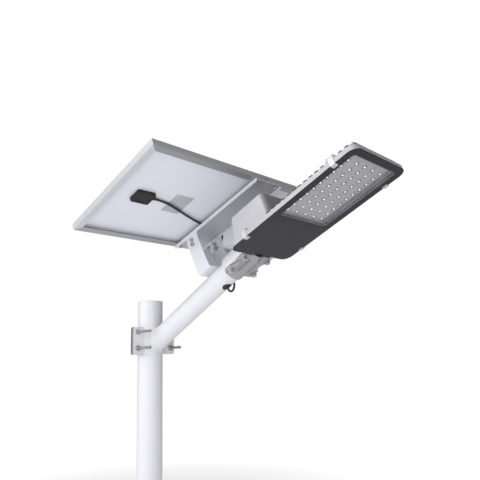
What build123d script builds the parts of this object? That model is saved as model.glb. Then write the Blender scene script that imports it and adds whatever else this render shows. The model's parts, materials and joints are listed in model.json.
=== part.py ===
from build123d import *
import os
import math

# Solar street lamp head: a pole section, a clamp with a sloping arm, a tilting
# solar panel over the arm and an LED lamp with a battery box on the arm's end.
# Millimetres. +Z is up, +X is the way the arm points, the origin is on the pole
# axis at the lower end of the pole. The arm, panel and lamp are each drawn in
# their own frame: local x runs up the slope, y is world Y, z is the normal.

os.makedirs("parts", exist_ok=True)

# ---------------------------------------------------------------- dimensions
POLE_R, POLE_WALL, POLE_H = 38.0, 3.0, 604.0
CAP_T = 4.0

# clamp round the pole
CLAMP_R, CLAMP_T = 38.06, 6.0  # bore radius, plate thickness
CLAMP_Z0, CLAMP_Z1 = 444.0, 526.0
CLAMP_H = CLAMP_Z1 - CLAMP_Z0
CLAMP_OUT_R = CLAMP_R + CLAMP_T
SPLIT_X, SPLIT_GAP = 15.0, 0.3  # parting plane, gap on each side of it
FLANGE_Y = 77.0
CLAMP_BOLT_Y, CLAMP_BOLT_Z = 61.0, (463.0, 511.0)

# fasteners: shank radius, width across flats, head and nut heights
M8_R, M8_FLATS, M8_NUT, M8_HEAD, M8_WASHER = 3.95, 13.0, 6.5, 5.3, 1.6
M6_R, M6_FLATS, M6_NUT, M6_HEAD, M6_WASHER = 2.95, 10.0, 5.0, 4.0, 1.2
M5_R, M5_HOLE_R = 2.45, 2.75

# arm
ARM_DEG, ARM_Z = 27.35, 464.5
ARM_R, ARM_WALL, ARM_END = 30.0, 2.5, 512.0
GROM_X, GROM_R = 381.0, 10.0
ARM_BORE_R = ARM_R + 0.05  # bore of the parts that fit over the arm

# U bracket on top of the arm
BRKT_X0, BRKT_X1, BRKT_T, BRKT_Y, BRKT_BEND = 341.0, 388.0, 3.0, 45.3, 8.0
BRKT_IN_Y = BRKT_Y - BRKT_T
WEB_TOP = 122.0

# panel frame: low edge of the back plane, slope, size
PAN_X, PAN_Z, PAN_DEG = 183.7, 749.3, 19.8
PAN_L, PAN_W, PAN_H = 355.4, 735.4, 17.0
PAN_HALF = PAN_W / 2

# channel under the panel, with its tilt pivot and lock bolt
CHAN_Y, CHAN_T, CHAN_H = 48.0, 2.5, 9.0
PIVOT_X, PIVOT_Z = 76.7, -23.2
LOCK_R, LOCK_DX = 14.5, 0.7  # lock bolt from the pivot: distance, x offset
LOCK_X = PIVOT_X - LOCK_DX
LOCK_Z = PIVOT_Z - math.sqrt(LOCK_R ** 2 - LOCK_DX ** 2)
EAR_X, EAR_Z, EAR_R = 77.5, -27.0, 22.5
CHAN_SCREWS = ((9.0, -33.0), (9.0, 33.0), (346.5, -30.0), (346.5, 33.0))
SLOTTED_SCREW = CHAN_SCREWS[2]

# lamp frame: near edge of the cover's lower face, tilt, size in plan
LAMP_X, LAMP_Z, LAMP_DEG = 475.0, 679.1, 22.15
LAMP_L, LAMP_W, LAMP_CORNER_R = 402.5, 219.6, 24.0
COVER_T, RIM_Z, RIM_CHAMFER = 5.0, 20.0, 8.0
SKIRT_Z, SKIRT_T = 0.5, 1.6
WIN_X0, WIN_X1, WIN_Y = 160.0, 384.0, 88.0
LED_X0, LED_DX, LED_DY, LED_Z = 173.9, 20.44, 32.85, 12.9
FIN_X, FIN_PITCH, FIN_COUNT, FIN_T = 394.5, 17.3, 16, 3.2
BOX_X0, BOX_X1, BOX_Y, BOX_TOP, BOX_WALL = -5.0, 129.0, 79.0, 95.0, 2.6
BOX_SCREWS = ((118, -67), (118, 67), (14, -67), (14, 67))
BAY_TOP = 17
CLIP_X = (61.0, 341.0)
CLIP_Y, CLIP_Z, CLIP_W, CLIP_TIP, CLIP_T = 108.5, 17.6, 13.0, 99.0, 1.3

# slip-fitter on the arm end (arm frame)
FIT_X0, FIT_X1, FIT_R, FIT_SEAM, FIT_Y = 421.0, 520.0, 38.0, -18.0, 51.0
FIT_CAP_R, FIT_GAP, FIT_BOSS = 34.2, 2.2, 9.5
FIT_CAP_TOP = FIT_SEAM - FIT_GAP
FIT_BOLTS = [(x, y) for x in (448.0, 505.0) for y in (43.0, -43.0)]

DIR_X, DIR_Y, DIR_Z = (1, 0, 0), (0, 1, 0), (0, 0, 1)
NEG_X, NEG_Y = (-1, 0, 0), (0, -1, 0)
SIDES = (-1, 1)  # the -Y side, then the +Y side


# ---------------------------------------------------------------- helpers
def slope_plane(x, z, degrees):
    angle = math.radians(degrees)
    return Plane(origin=(x, 0, z), x_dir=(math.cos(angle), 0, math.sin(angle)),
                 z_dir=(-math.sin(angle), 0, math.cos(angle)))


ARM = slope_plane(0, ARM_Z, ARM_DEG)
PANEL = slope_plane(PAN_X, PAN_Z, PAN_DEG)
LAMP = slope_plane(LAMP_X, LAMP_Z, LAMP_DEG)


def box(x0, x1, y0, y1, z0, z1):
    """Box between two planes on each axis, given in either order."""
    (x0, x1), (y0, y1), (z0, z1) = sorted((x0, x1)), sorted((y0, y1)), sorted((z0, z1))
    return Pos((x0 + x1) / 2, (y0 + y1) / 2, (z0 + z1) / 2) * Box(x1 - x0, y1 - y0, z1 - z0)


def cyl(start, direction, radius, length):
    return Plane(origin=start, z_dir=direction) * Pos(0, 0, length / 2) * Cylinder(radius, length)


def tube(start, direction, outer_r, inner_r, length):
    return cyl(start, direction, outer_r, length) - cyl(start, direction, inner_r, length)


def slab(x0, x1, half_y, corner_r, z0, z1):
    """Rounded rectangle in plan, symmetric about y = 0."""
    plan = RectangleRounded(x1 - x0, 2 * half_y, corner_r)
    return extrude(Pos((x0 + x1) / 2, 0, z0) * plan, z1 - z0)


def face(*points):
    return make_face(Polyline(*points, points[0]))


def extrude_x(profile, x, length):
    """Extrude a (y, z) profile from x towards +X."""
    return extrude(Plane(origin=(x, 0, 0), x_dir=DIR_Y, z_dir=DIR_X) * profile, length)


def extrude_neg_y(profile, y, length):
    """Extrude an (x, z) profile from y towards -Y."""
    return extrude(Plane(origin=(0, y, 0), x_dir=DIR_X, z_dir=NEG_Y) * profile, length)


def hex_prism(start, direction, flats, height):
    """Hexagon with its corners trimmed by a cylinder."""
    prism = extrude(Plane(origin=start, z_dir=direction)
                    * RegularPolygon(flats / 2, 6, major_radius=False), height)
    return prism & cyl(start, direction, flats / 2 * 1.10, height)


def bolt(seat, direction, radius, length, flats, head):
    """Hex bolt: seat is under the head, direction runs down the shank."""
    head_end = tuple(a - b * head for a, b in zip(seat, direction))
    shank = cyl(seat, direction, radius, length)
    ends = shank.edges().filter_by(GeomType.CIRCLE).sort_by(
        lambda edge: sum(a * b for a, b in zip(tuple(edge.center()), direction)))
    return hex_prism(head_end, direction, flats, head) + chamfer(ends[-1], radius * 0.25)


def nut(seat, direction, flats, height, radius):
    return hex_prism(seat, direction, flats, height) - cyl(seat, direction, radius + 0.05, height)


def washer(seat, direction, outer_r, height, radius):
    return tube(seat, direction, outer_r, radius + 0.1, height)


def rope(points, radius, start_dir, end_dir):
    path = Spline(*points, tangents=(start_dir, end_dir))
    return sweep(Plane(origin=path @ 0, z_dir=path % 0) * Circle(radius), path=path)


def fuse(parts):
    total = parts[0]
    for part in parts[1:]:
        total = total + part
    return total


def cut(shape, tools):
    for tool in tools:
        shape = shape - tool
    return shape


def largest(shape):
    return shape.solids().sort_by(SortBy.VOLUME)[-1]


def try_fillet(shape, edges, radii):
    """Fillet with the first radius that works, or leave the shape as it is."""
    for radius in radii:
        # guards against a radius the kernel cannot build on these edges
        try:
            rounded = fillet(edges, radius)
            if rounded.is_valid:
                return rounded
        except Exception:
            pass
    return shape


def solids_of(item):
    if isinstance(item, (list, tuple)):
        return [solid for part in item for solid in solids_of(part)]
    return list(item.solids())


def save(name, item):
    found = solids_of(item)
    shape = found[0] if len(found) == 1 else Compound(children=found)
    shape.label = name
    export_step(shape, f"parts/{name}.step")


# ---------------------------------------------------------------- pole
save("pole_tube", tube((0, 0, 0), DIR_Z, POLE_R, POLE_R - POLE_WALL, POLE_H))
cap = cyl((0, 0, POLE_H), DIR_Z, POLE_R, CAP_T)
save("pole_cap", fillet(cap.edges().filter_by(GeomType.CIRCLE).sort_by(Axis.Z)[-1], 2.2))

# ---------------------------------------------------------------- clamp
FRONT_X, REAR_X = SPLIT_X + SPLIT_GAP, SPLIT_X - SPLIT_GAP  # facing sides of the flanges
FRONT_SEAT, REAR_SEAT = FRONT_X + CLAMP_T, REAR_X - CLAMP_T
CLAMP_BOLTS = [(side * CLAMP_BOLT_Y, z) for side in SIDES for z in CLAMP_BOLT_Z]
clamp_bore = cyl((0, 0, CLAMP_Z0 - 1), DIR_Z, CLAMP_R, CLAMP_H + 2)
clamp_holes = [cyl((-10, y, z), DIR_X, M8_R + 0.4, 60) for y, z in CLAMP_BOLTS]


def clamp_flange(x):
    plate = Pos(0, (CLAMP_Z0 + CLAMP_Z1) / 2) * RectangleRounded(2 * FLANGE_Y, CLAMP_H, 6)
    return extrude_x(plate, x, CLAMP_T)


def clamp_shell(x0, x1):
    return (cyl((0, 0, CLAMP_Z0), DIR_Z, CLAMP_OUT_R, CLAMP_H)
            & box(x0, x1, -90, 90, CLAMP_Z0, CLAMP_Z1))


def clamp_rear():
    rear = clamp_flange(REAR_SEAT) + clamp_shell(-90, 0)
    rear += box(0, REAR_X, -CLAMP_OUT_R, CLAMP_OUT_R, CLAMP_Z0, CLAMP_Z1)
    rear -= clamp_bore
    # straight-sided mouth between the pole's centre and the parting plane
    rear -= box(0, SPLIT_X + 5, -CLAMP_R, CLAMP_R, CLAMP_Z0 - 1, CLAMP_Z1 + 1)
    return cut(rear, clamp_holes)


front = clamp_flange(FRONT_X) + clamp_shell(FRONT_X, 90)
save("clamp_front_half", cut(front - clamp_bore, clamp_holes))
save("clamp_rear_half", clamp_rear())
save("clamp_bolts", [bolt((REAR_SEAT - M8_WASHER, y, z), DIR_X, M8_R, 80 if y < 0 else 66,
                          M8_FLATS, M8_HEAD) for y, z in CLAMP_BOLTS])
save("clamp_nuts", [nut((FRONT_SEAT + M8_WASHER, y, z), DIR_X, M8_FLATS, M8_NUT, M8_R)
                    for y, z in CLAMP_BOLTS])
save("clamp_washers", [washer((x, y, z), DIR_X, 8, M8_WASHER, M8_R)
                       for x in (REAR_SEAT - M8_WASHER, FRONT_SEAT) for y, z in CLAMP_BOLTS])

# ---------------------------------------------------------------- arm
clamp_face = cyl((0, 0, CLAMP_Z0 - 60), DIR_Z, CLAMP_OUT_R, CLAMP_H + 120)
arm = ARM * tube((0, 0, 0), DIR_X, ARM_R, ARM_R - ARM_WALL, ARM_END)
arm -= clamp_face
arm -= ARM * cyl((GROM_X, 0, -40), DIR_Z, GROM_R, 35)
save("arm_tube", largest(arm))


def grommet():
    """Cable grommet in the underside of the arm, flanged over the tube."""
    def curved_disc(radius, length, outer_r, inner_r):
        shell = tube((GROM_X - 30, 0, 0), DIR_X, outer_r, inner_r, 60)
        return cyl((GROM_X, 0, -45), DIR_Z, radius, length) & shell

    plug = ARM * curved_disc(GROM_R - 0.05, 20, ARM_R + 1.0, ARM_R - ARM_WALL - 2.5)
    plug += ARM * curved_disc(GROM_R + 3.5, 45, ARM_R + 2.2, ARM_R)
    return plug - ARM * cyl((GROM_X, 0, -45), DIR_Z, 3.5, 45)


save("arm_grommet", grommet())


# ---------------------------------------------------------------- bracket
def panel_to_arm(x, z):
    return ARM.to_local_coords(PANEL.from_local_coords(Vector(x, 0, z)))


pivot, lock = panel_to_arm(PIVOT_X, PIVOT_Z), panel_to_arm(LOCK_X, LOCK_Z)
ARM_PIV_X, ARM_PIV_Z = pivot.X, pivot.Z
LOCK_DEG = math.degrees(math.atan2(lock.Z - ARM_PIV_Z, lock.X - ARM_PIV_X))
BRKT_TOP_R, BRKT_SHOULDER = 18.9, 13.4
LOCK_SLOT_HALF = 3.3


def trough(inset, x, length):
    """Solid filling the U section, shrunk by inset."""
    profile = RectangleRounded(2 * (BRKT_Y - inset), 140, BRKT_BEND - inset)
    return extrude_x(Pos(0, ARM_R + inset + 70) * profile, x, length)


def pivot_polar(radius, angle):
    return (ARM_PIV_X + radius * math.cos(angle), ARM_PIV_Z + radius * math.sin(angle))


def lock_slot():
    """Curved slot for the lock bolt, centred on the pivot."""
    first, last = math.radians(LOCK_DEG - 13), math.radians(LOCK_DEG + 28)
    angles = [first + (last - first) * i / 12 for i in range(13)]
    slot = face(*[pivot_polar(LOCK_R + LOCK_SLOT_HALF, a) for a in angles],
                *[pivot_polar(LOCK_R - LOCK_SLOT_HALF, a) for a in reversed(angles)])
    for angle in (first, last):
        slot += Pos(*pivot_polar(LOCK_R, angle)) * Circle(LOCK_SLOT_HALF)
    return extrude_neg_y(slot, 60, 120)


def bracket(inside):
    shape = trough(0, BRKT_X0, BRKT_X1 - BRKT_X0) - inside
    # straight legs, shoulders tapering to a round top at the pivot
    leg = face((BRKT_X0, 0), (BRKT_X1, 0), (BRKT_X1, ARM_PIV_Z + 2),
               (ARM_PIV_X + BRKT_SHOULDER, ARM_PIV_Z + BRKT_SHOULDER),
               (ARM_PIV_X - BRKT_SHOULDER, ARM_PIV_Z + BRKT_SHOULDER), (BRKT_X0, ARM_PIV_Z + 2))
    leg += Pos(ARM_PIV_X, ARM_PIV_Z) * Circle(BRKT_TOP_R)
    shape = shape & extrude_neg_y(leg, 60, 120)
    shape -= cyl((ARM_PIV_X, -60, ARM_PIV_Z), DIR_Y, M6_R + 0.05, 120)
    return shape - lock_slot()


trough_inside = trough(BRKT_T, BRKT_X0 - 1, BRKT_X1 - BRKT_X0 + 2)
save("post_bracket", ARM * bracket(trough_inside))
web = box(BRKT_X0, BRKT_X0 + BRKT_T, -BRKT_IN_Y, BRKT_IN_Y, ARM_R + BRKT_T, WEB_TOP)
save("post_bracket_web", ARM * (web & trough_inside))


def clamp_weld():
    """Bead round the arm where it meets the clamp."""
    bead = ARM * tube((0, 0, 0), DIR_X, ARM_R + 4, ARM_R, 140)
    bead = bead & (cyl((0, 0, CLAMP_Z0 + 1), DIR_Z, CLAMP_OUT_R + 4, CLAMP_H - 2) - clamp_face)
    return largest(bead & box(0, 90, -60, 60, CLAMP_Z0, CLAMP_Z1))


def bracket_welds(radius=2.6):
    """Beads along both sides and both ends of the bracket's foot."""
    welds = []
    for side in SIDES:
        start = (BRKT_X0 + 4, side * 8.5, ARM_R - 1.8)
        bead = cyl(start, DIR_X, radius, BRKT_X1 - BRKT_X0 - 8)
        bead -= cyl((BRKT_X0 - 5, 0, 0), DIR_X, ARM_R, 60)
        bead -= box(BRKT_X0 - 5, BRKT_X1 + 5, -60, 60, ARM_R, ARM_R + 10)
        welds.append(ARM * bead)
    for x, outward in ((BRKT_X0, -1), (BRKT_X1, 1)):
        bead = cyl((x, -15, ARM_R + 0.6), DIR_Y, radius, 30)
        bead = bead & box(x, x + 6 * outward, -20, 20, 0, 60)
        welds.append(ARM * (bead - cyl((BRKT_X0 - 10, 0, 0), DIR_X, ARM_R, 70)))
    return welds


save("weld_beads", [clamp_weld()] + bracket_welds())


# ---------------------------------------------------------------- channel under the panel
def channel():
    shape = box(1.5, PAN_L - 1.2, -CHAN_Y, CHAN_Y, -CHAN_H, 0)
    shape -= box(0, PAN_L, -CHAN_Y + CHAN_T, CHAN_Y - CHAN_T, -CHAN_H - 1, -CHAN_T)
    for y in (-CHAN_Y + CHAN_T, CHAN_Y):
        ear = Pos(EAR_X, EAR_Z) * Circle(EAR_R)
        low, high = EAR_X - EAR_R, EAR_X + EAR_R
        ear += face((low, EAR_Z), (high, EAR_Z), (high + 1.0, -12), (high + 5, -5),
                    (low - 2, -5), (low - 0.4, -12))
        shape += extrude_neg_y(ear, y, CHAN_T)
    for x, z in ((PIVOT_X, PIVOT_Z), (LOCK_X, LOCK_Z)):
        shape -= cyl((x, -60, z), DIR_Y, M6_R + 0.06, 120)
    for x, y in CHAN_SCREWS:
        if (x, y) == SLOTTED_SCREW:
            shape -= extrude(Pos(x, y, -5) * SlotOverall(15, 5.6, rotation=90), 8)
        else:
            shape -= cyl((x, y, -5), DIR_Z, M5_HOLE_R, 8)
    return shape


save("panel_channel", PANEL * channel())
save("channel_screws_and_nuts",
     [PANEL * bolt((x, y, -CHAN_T), DIR_Z, M5_R, 10, 10, 3.5) for x, y in CHAN_SCREWS]
     + [PANEL * nut((x, y, 1.5), DIR_Z, 8, 4, M5_R) for x, y in CHAN_SCREWS])


def ear_fasteners(x, z):
    """Bolts with heads outside the ears, nuts inside the bracket legs."""
    bolts, nuts, washers = [], [], []
    for side in SIDES:
        inward, leg_y = (0, -side, 0), side * BRKT_IN_Y
        washers.append(PANEL * washer((x, side * CHAN_Y, z), (0, side, 0), 6.0, M6_WASHER, M6_R))
        bolts.append(PANEL * bolt((x, side * (CHAN_Y + M6_WASHER), z), inward,
                                  M6_R, 20, M6_FLATS, M6_HEAD))
        washers.append(PANEL * washer((x, leg_y, z), inward, 6.0, M6_WASHER, M6_R))
        nuts.append(PANEL * nut((x, leg_y - side * M6_WASHER, z), inward,
                                M6_FLATS, M6_NUT, M6_R))
    return bolts, nuts, washers


pivot_bolts, pivot_nuts, pivot_washers = ear_fasteners(PIVOT_X, PIVOT_Z)
lock_bolts, lock_nuts, lock_washers = ear_fasteners(LOCK_X, LOCK_Z)
save("tilt_pivot_bolts", pivot_bolts)
save("tilt_lock_bolts", lock_bolts)
save("tilt_nuts", pivot_nuts + lock_nuts)
save("tilt_washers", pivot_washers + lock_washers)

# ---------------------------------------------------------------- panel frame
RAIL_WALL, RAIL_LIP = 1.6, 17.0
LEDGE_Z0, LEDGE_Z1, TOP_LIP_Z = 9.9, 11.5, 15.6  # glass ledge, underside of the top lip
MITRE = 60
# corners in order round the frame, and the points on the mitre lines inside them
OUTER = ((0, -PAN_HALF), (0, PAN_HALF), (PAN_L, PAN_HALF), (PAN_L, -PAN_HALF))
INNER = ((MITRE, -PAN_HALF + MITRE), (MITRE, PAN_HALF - MITRE),
         (PAN_L - MITRE, PAN_HALF - MITRE), (PAN_L - MITRE, -PAN_HALF + MITRE))


def rail_profile():
    """Section with the outer wall on x = 0 and the lips reaching inwards."""
    profile = Pos(RAIL_WALL / 2, PAN_H / 2) * Rectangle(RAIL_WALL, PAN_H)
    profile += Pos(RAIL_LIP / 2, 0.75) * Rectangle(RAIL_LIP, 1.5)
    for z0, z1 in ((LEDGE_Z0, LEDGE_Z1), (TOP_LIP_Z, PAN_H)):
        profile += Pos(4.25, (z0 + z1) / 2) * Rectangle(8.5, z1 - z0)
    return profile


def rail(i, inward, direction, length):
    """Rail between corners i and i + 1, drawn from corner i + 1 back."""
    j = (i + 1) % 4
    bar = extrude(Plane(origin=(*OUTER[j], 0), x_dir=inward, z_dir=direction)
                  * rail_profile(), length)
    return bar & extrude(face(OUTER[i], OUTER[j], INNER[j], INNER[i]), 40, both=True)


def screw_holes(x_min, x_max):
    return [cyl((x, y, -1), DIR_Z, M5_HOLE_R, 4) for x, y in CHAN_SCREWS if x_min < x < x_max]


rail_low = cut(rail(0, DIR_X, NEG_Y, PAN_W), screw_holes(0, 100))
rail_high = cut(rail(2, NEG_X, DIR_Y, PAN_W), screw_holes(100, PAN_L))
rail_high -= cyl((PAN_L - 5, -8, 6.0), DIR_X, 2.6, 10)  # hole in the outer wall
save("panel_rail_low", PANEL * rail_low)
save("panel_rail_high", PANEL * rail_high)
save("panel_rail_left", PANEL * rail(3, DIR_Y, DIR_X, PAN_L))  # -Y side
save("panel_rail_right", PANEL * rail(1, NEG_Y, NEG_X, PAN_L))  # +Y side


def corner_key(x, y, sx, sy, near=1.8, far=6.8, end=27):
    """L-shaped key inside a frame corner; sx and sy point into the frame."""
    along_x = box(x + sx * near, x + sx * end, y + sy * near, y + sy * far, 1.7, 9.7)
    along_y = box(x + sx * near, x + sx * far, y + sy * near, y + sy * end, 1.7, 9.7)
    return PANEL * (along_x + along_y)


save("panel_corner_keys", [corner_key(x, -sy * PAN_HALF, sx, sy)
                           for sx, x in ((1, 0.0), (-1, PAN_L)) for sy in (1, -1)])

# ---------------------------------------------------------------- panel layers
LAYER_INSET = 2.0
SHEET_Z, CELL_Z, RIBBON_Z, GLASS_Z, GLASS_TOP = 11.6, 12.0, 12.2, 12.35, 15.55
CELL_COLS, CELL_ROWS = 9, 4  # across y, up the slope
CELL_PITCH_Y, CELL_PITCH_X = 77.6, 81.5
ROW_X = [PAN_L / 2 + (i - (CELL_ROWS - 1) / 2) * CELL_PITCH_X for i in range(CELL_ROWS)]
COL_Y = [(j - (CELL_COLS - 1) / 2) * CELL_PITCH_Y for j in range(CELL_COLS)]
RIBBON_Y = CELL_COLS / 2 * CELL_PITCH_Y - 6


def panel_sheet(z0, z1):
    y = PAN_HALF - LAYER_INSET
    return PANEL * box(LAYER_INSET, PAN_L - LAYER_INSET, -y, y, z0, z1)


save("panel_backsheet", panel_sheet(SHEET_Z, CELL_Z))
save("solar_cells", [PANEL * (Pos(x, y, 12.1) * Box(CELL_PITCH_X - 3, CELL_PITCH_Y - 2.6, 0.2))
                     for x in ROW_X for y in COL_Y])
save("cell_ribbons", [PANEL * box(x + dx - 0.9, x + dx + 0.9, -RIBBON_Y, RIBBON_Y,
                                  RIBBON_Z, GLASS_Z) for x in ROW_X for dx in (-20, 20)])
save("panel_glass", panel_sheet(GLASS_Z, GLASS_TOP))

# ---------------------------------------------------------------- junction box
JUNC_X, JUNC_Y, JUNC_SPLIT = 173.5, -271.5, 4.4
CABLE_R, CABLE_HOLE_R = 3.0, 3.1
EXIT_X, EXIT_Z = 176, 7.6  # cable exit on the +Y side


def junction_block(length_x, length_y, corner_r, z, height):
    plan = RectangleRounded(length_x, length_y, corner_r)
    return extrude(Pos(JUNC_X, JUNC_Y, z) * plan, height)


base = junction_block(42, 52, 4, JUNC_SPLIT, 7.2) - junction_block(37, 47, 2.5, 4.3, 5.3)
base -= cyl((EXIT_X, -253, EXIT_Z), DIR_Y, CABLE_HOLE_R, 13)
save("junction_box_base", PANEL * base)
lid = junction_block(42, 52, 4, JUNC_SPLIT - 2.5, 2.5)
lid = chamfer(lid.edges().group_by(Axis.Z)[0], 1.0)
save("junction_box_lid", PANEL * (lid - junction_block(28, 38, 2, 1.4, 1.2)))
gland = cyl((EXIT_X, -245.5, EXIT_Z), DIR_Y, 3.9, 8)
gland -= cyl((EXIT_X, -250, EXIT_Z), DIR_Y, CABLE_HOLE_R, 20)
save("junction_box_gland", PANEL * (gland & box(160, 200, -246, -230, 3.0, 11.5)))
save("panel_label", PANEL * box(134, 210, -191, -133, 11.35, SHEET_Z))

# ---------------------------------------------------------------- cables
MEET_Y = 62.0  # the two cables meet beside the pivot
# (x, y, z) in the panel frame, from the junction box to the pivot
PANEL_CABLE = [
    (EXIT_X, -252, EXIT_Z), (EXIT_X, -240, EXIT_Z), (175.4, -226, 7.6), (171, -198, 7.4),
    (160, -163, 7.2), (146.5, -125, 7.0), (132, -82, 6.6), (121, -42, 5.6), (112, 0, 5.2),
    (104, 40, 5.2), (95, 60.5, -1.5), (84, 64, -12.0), (PIVOT_X, MEET_Y, PIVOT_Z + 0.9)]
# (x, y, z) in the arm frame, down to the grommet, then inside the arm to its end
FEED_CABLE = [
    (ARM_PIV_X, MEET_Y, ARM_PIV_Z - 0.9), (ARM_PIV_X + 1, 60, ARM_PIV_Z - 28),
    (ARM_PIV_X + 2.5, 56, ARM_PIV_Z - 60), (ARM_PIV_X + 4.5, 51.5, 46),
    (ARM_PIV_X + 7, 46, 20), (ARM_PIV_X + 9.5, 40.5, 3), (ARM_PIV_X + 11.5, 37, -12),
    (ARM_PIV_X + 13, 29.5, -25.5), (GROM_X - 0.3, 18.5, -35.8), (GROM_X, 8.5, -40),
    (GROM_X, 2.5, -37.5), (GROM_X, 0, -31.5), (GROM_X, 0, -22), (GROM_X + 5, 0, -11),
    (GROM_X + 24, 0, -2.5), (GROM_X + 60, 0, 0), (505, 0, 0)]
save("panel_cable", PANEL * rope(PANEL_CABLE, CABLE_R, DIR_Y, (-0.25, -0.05, -1)))
save("feed_cable", ARM * rope(FEED_CABLE, CABLE_R, (0, -0.05, -1), DIR_X))


# ---------------------------------------------------------------- battery box shapes
def box_solid(profile, half_y):
    """Extruded side profile, rounded; used for the outside and the cavity."""
    corner_x = profile[2][0]
    far_x, top_z = profile[3]
    shape = extrude_neg_y(face(*profile), half_y, 2 * half_y)
    inset = BOX_Y - half_y

    def on_side(edge):
        return abs(abs(edge.center().Y) - half_y) < 0.01

    far = [e for e in shape.edges() if on_side(e) and abs(e.center().X - far_x) < 0.01]
    shape = try_fillet(shape, far, [r - inset for r in (14, 12, 10)] if not inset else (11.4, 9.4))
    near = [e for e in shape.edges()
            if on_side(e) and e.center().X < corner_x - 0.5 and e.center().Z > RIM_Z + 1]
    shape = try_fillet(shape, near, (4.4, 3) if inset else (7, 5, 3))
    top = [e for e in shape.edges()
           if e.center().Z > top_z - 0.5 and e.center().X > corner_x + 0.5]
    return try_fillet(shape, top, (3.4, 2, 1) if inset else (6, 4, 3, 2, 1))


# (x, z) side profiles: near foot, near shoulder, near top, far top, far foot
BOX_OUTSIDE = ((BOX_X0, RIM_Z), (9.5, 85), (17.0, BOX_TOP), (BOX_X1, BOX_TOP), (BOX_X1, RIM_Z))
BOX_CAVITY = ((BOX_X0 + 2.8, RIM_Z - 1), (12.3, 84), (18.5, BOX_TOP - BOX_WALL),
              (BOX_X1 - BOX_WALL, BOX_TOP - BOX_WALL), (BOX_X1 - BOX_WALL, RIM_Z - 1))
box_outside = box_solid(BOX_OUTSIDE, BOX_Y)


# ---------------------------------------------------------------- lamp housing
def lamp_slab(z0, z1, inset=0.0):
    """Slab with the lamp's outline in plan, shrunk by inset."""
    return slab(inset, LAMP_L - inset, LAMP_W / 2 - inset, LAMP_CORNER_R - inset, z0, z1)


def driver_bay():
    return slab(6, 150, 98, 15, 4, BAY_TOP)


def shoulder(edge, sign=1):
    """Wedge section that slopes the rim back from an outer edge."""
    out, back = sign * (edge + 1.63), sign * (edge - 13)
    return face((out, 11), (back, 20), (back, 24), (out, 24))


def fin(i):
    """Cooling fin; number 0, at the far end, is lower and narrower."""
    end_y = 101.0 if i else 98.0
    end_z, mid_z = (21.5, 32.0) if i else (20.5, 25.0)
    profile = face((-end_y, 14), (-end_y, end_z), (-end_y + 17, mid_z),
                   (end_y - 17, mid_z), (end_y, end_z), (end_y, 14))
    return extrude_x(profile, FIN_X - i * FIN_PITCH - FIN_T / 2, FIN_T)


def clip_lug(x, side, end):
    """Lug beside one end of a clip, on the -Y side or mirrored to +Y."""
    start = min(x + end * (CLIP_W / 2 + 0.3), x + end * (CLIP_W / 2 + 3.6))
    profile = face((-109.3, 11.0), (-111.0, 15.0), (-111.0, 20.9), (-106.0, 20.9),
                   (-98.0, 18.0), (-98.0, 11.0))
    lug = extrude_x(profile, start, 3.3)
    return mirror(lug, Plane.XZ) if side > 0 else lug


def housing_body():
    body = lamp_slab(COVER_T, RIM_Z)
    body = chamfer(body.faces().sort_by(Axis.Z)[-1].edges(), RIM_CHAMFER)
    # the two long sides and the far end slope back more gently above the rim
    for side in SIDES:
        body -= extrude_x(shoulder(LAMP_W / 2, side), -1, 405)
    body -= extrude_neg_y(shoulder(LAMP_L), 120, 240)
    # skirt that wraps the cover's edge
    body += lamp_slab(SKIRT_Z, COVER_T + 0.5) - lamp_slab(SKIRT_Z - 1, COVER_T + 1, SKIRT_T)
    body += fuse([fin(i) for i in range(FIN_COUNT)]) & lamp_slab(COVER_T, 40, 1.0)
    # spine rib joining the fins
    body += box(136, 380, -2, 2, RIM_Z - 1, 30) + box(379, 394, -2, 2, RIM_Z - 1, 24)
    body += fuse([clip_lug(x, side, end) for x in CLIP_X for side in SIDES for end in (-1, 1)])
    body -= slab(156, 393, 100, 15, 4, 15)  # LED bay
    body -= driver_bay()
    body -= box(24, 108, -62, 62, 10, 30)  # opening up into the battery box
    for x in CLIP_X:
        for side in SIDES:
            body -= cyl((x - 20, side * CLIP_Y, CLIP_Z), DIR_X, 1.55, 40)
    return cut(body, [cyl((x, y, 10), DIR_Z, 2.05, 20) for x, y in BOX_SCREWS])


def lamp_housing():
    body = housing_body()
    # saddle over the arm end and the neck that joins it to the body
    neck = slab(-24, 10, 50, 8, 3.5, 62)
    neck -= box(-0.4, 20, -70, 70, 0, COVER_T)
    neck -= driver_bay()
    saddle = cyl((FIT_X0 + 5, 0, 0), DIR_X, FIT_R + 1, FIT_X1 - FIT_X0 + 4)
    saddle = saddle & box(FIT_X0 - 10, FIT_X1 + 30, -60, 60, FIT_SEAM, 60)
    saddle += slab(FIT_X0 + 13, FIT_X1 - 2, FIT_Y, 9, FIT_SEAM, FIT_SEAM + 10)
    housing = LAMP * (body + neck) + ARM * saddle
    housing -= ARM * cyl((FIT_X0 - 20, 0, 0), DIR_X, ARM_BORE_R, ARM_END + 3 - FIT_X0 + 20)
    housing -= ARM * box(FIT_X0 - 10, FIT_X1 + 8, -60, 60, -60, FIT_SEAM)
    for x, y in FIT_BOLTS:
        housing -= ARM * cyl((x, y, -30), DIR_Z, M8_R + 0.06, 60 if x < 480 else 34)
    # wire way from the socket into the driver bay
    housing -= LAMP * cyl((-14, 0, 14.8), DIR_X, 3.8, 22)
    return largest(housing - LAMP * box_outside)


save("lamp_housing", lamp_housing())


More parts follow.
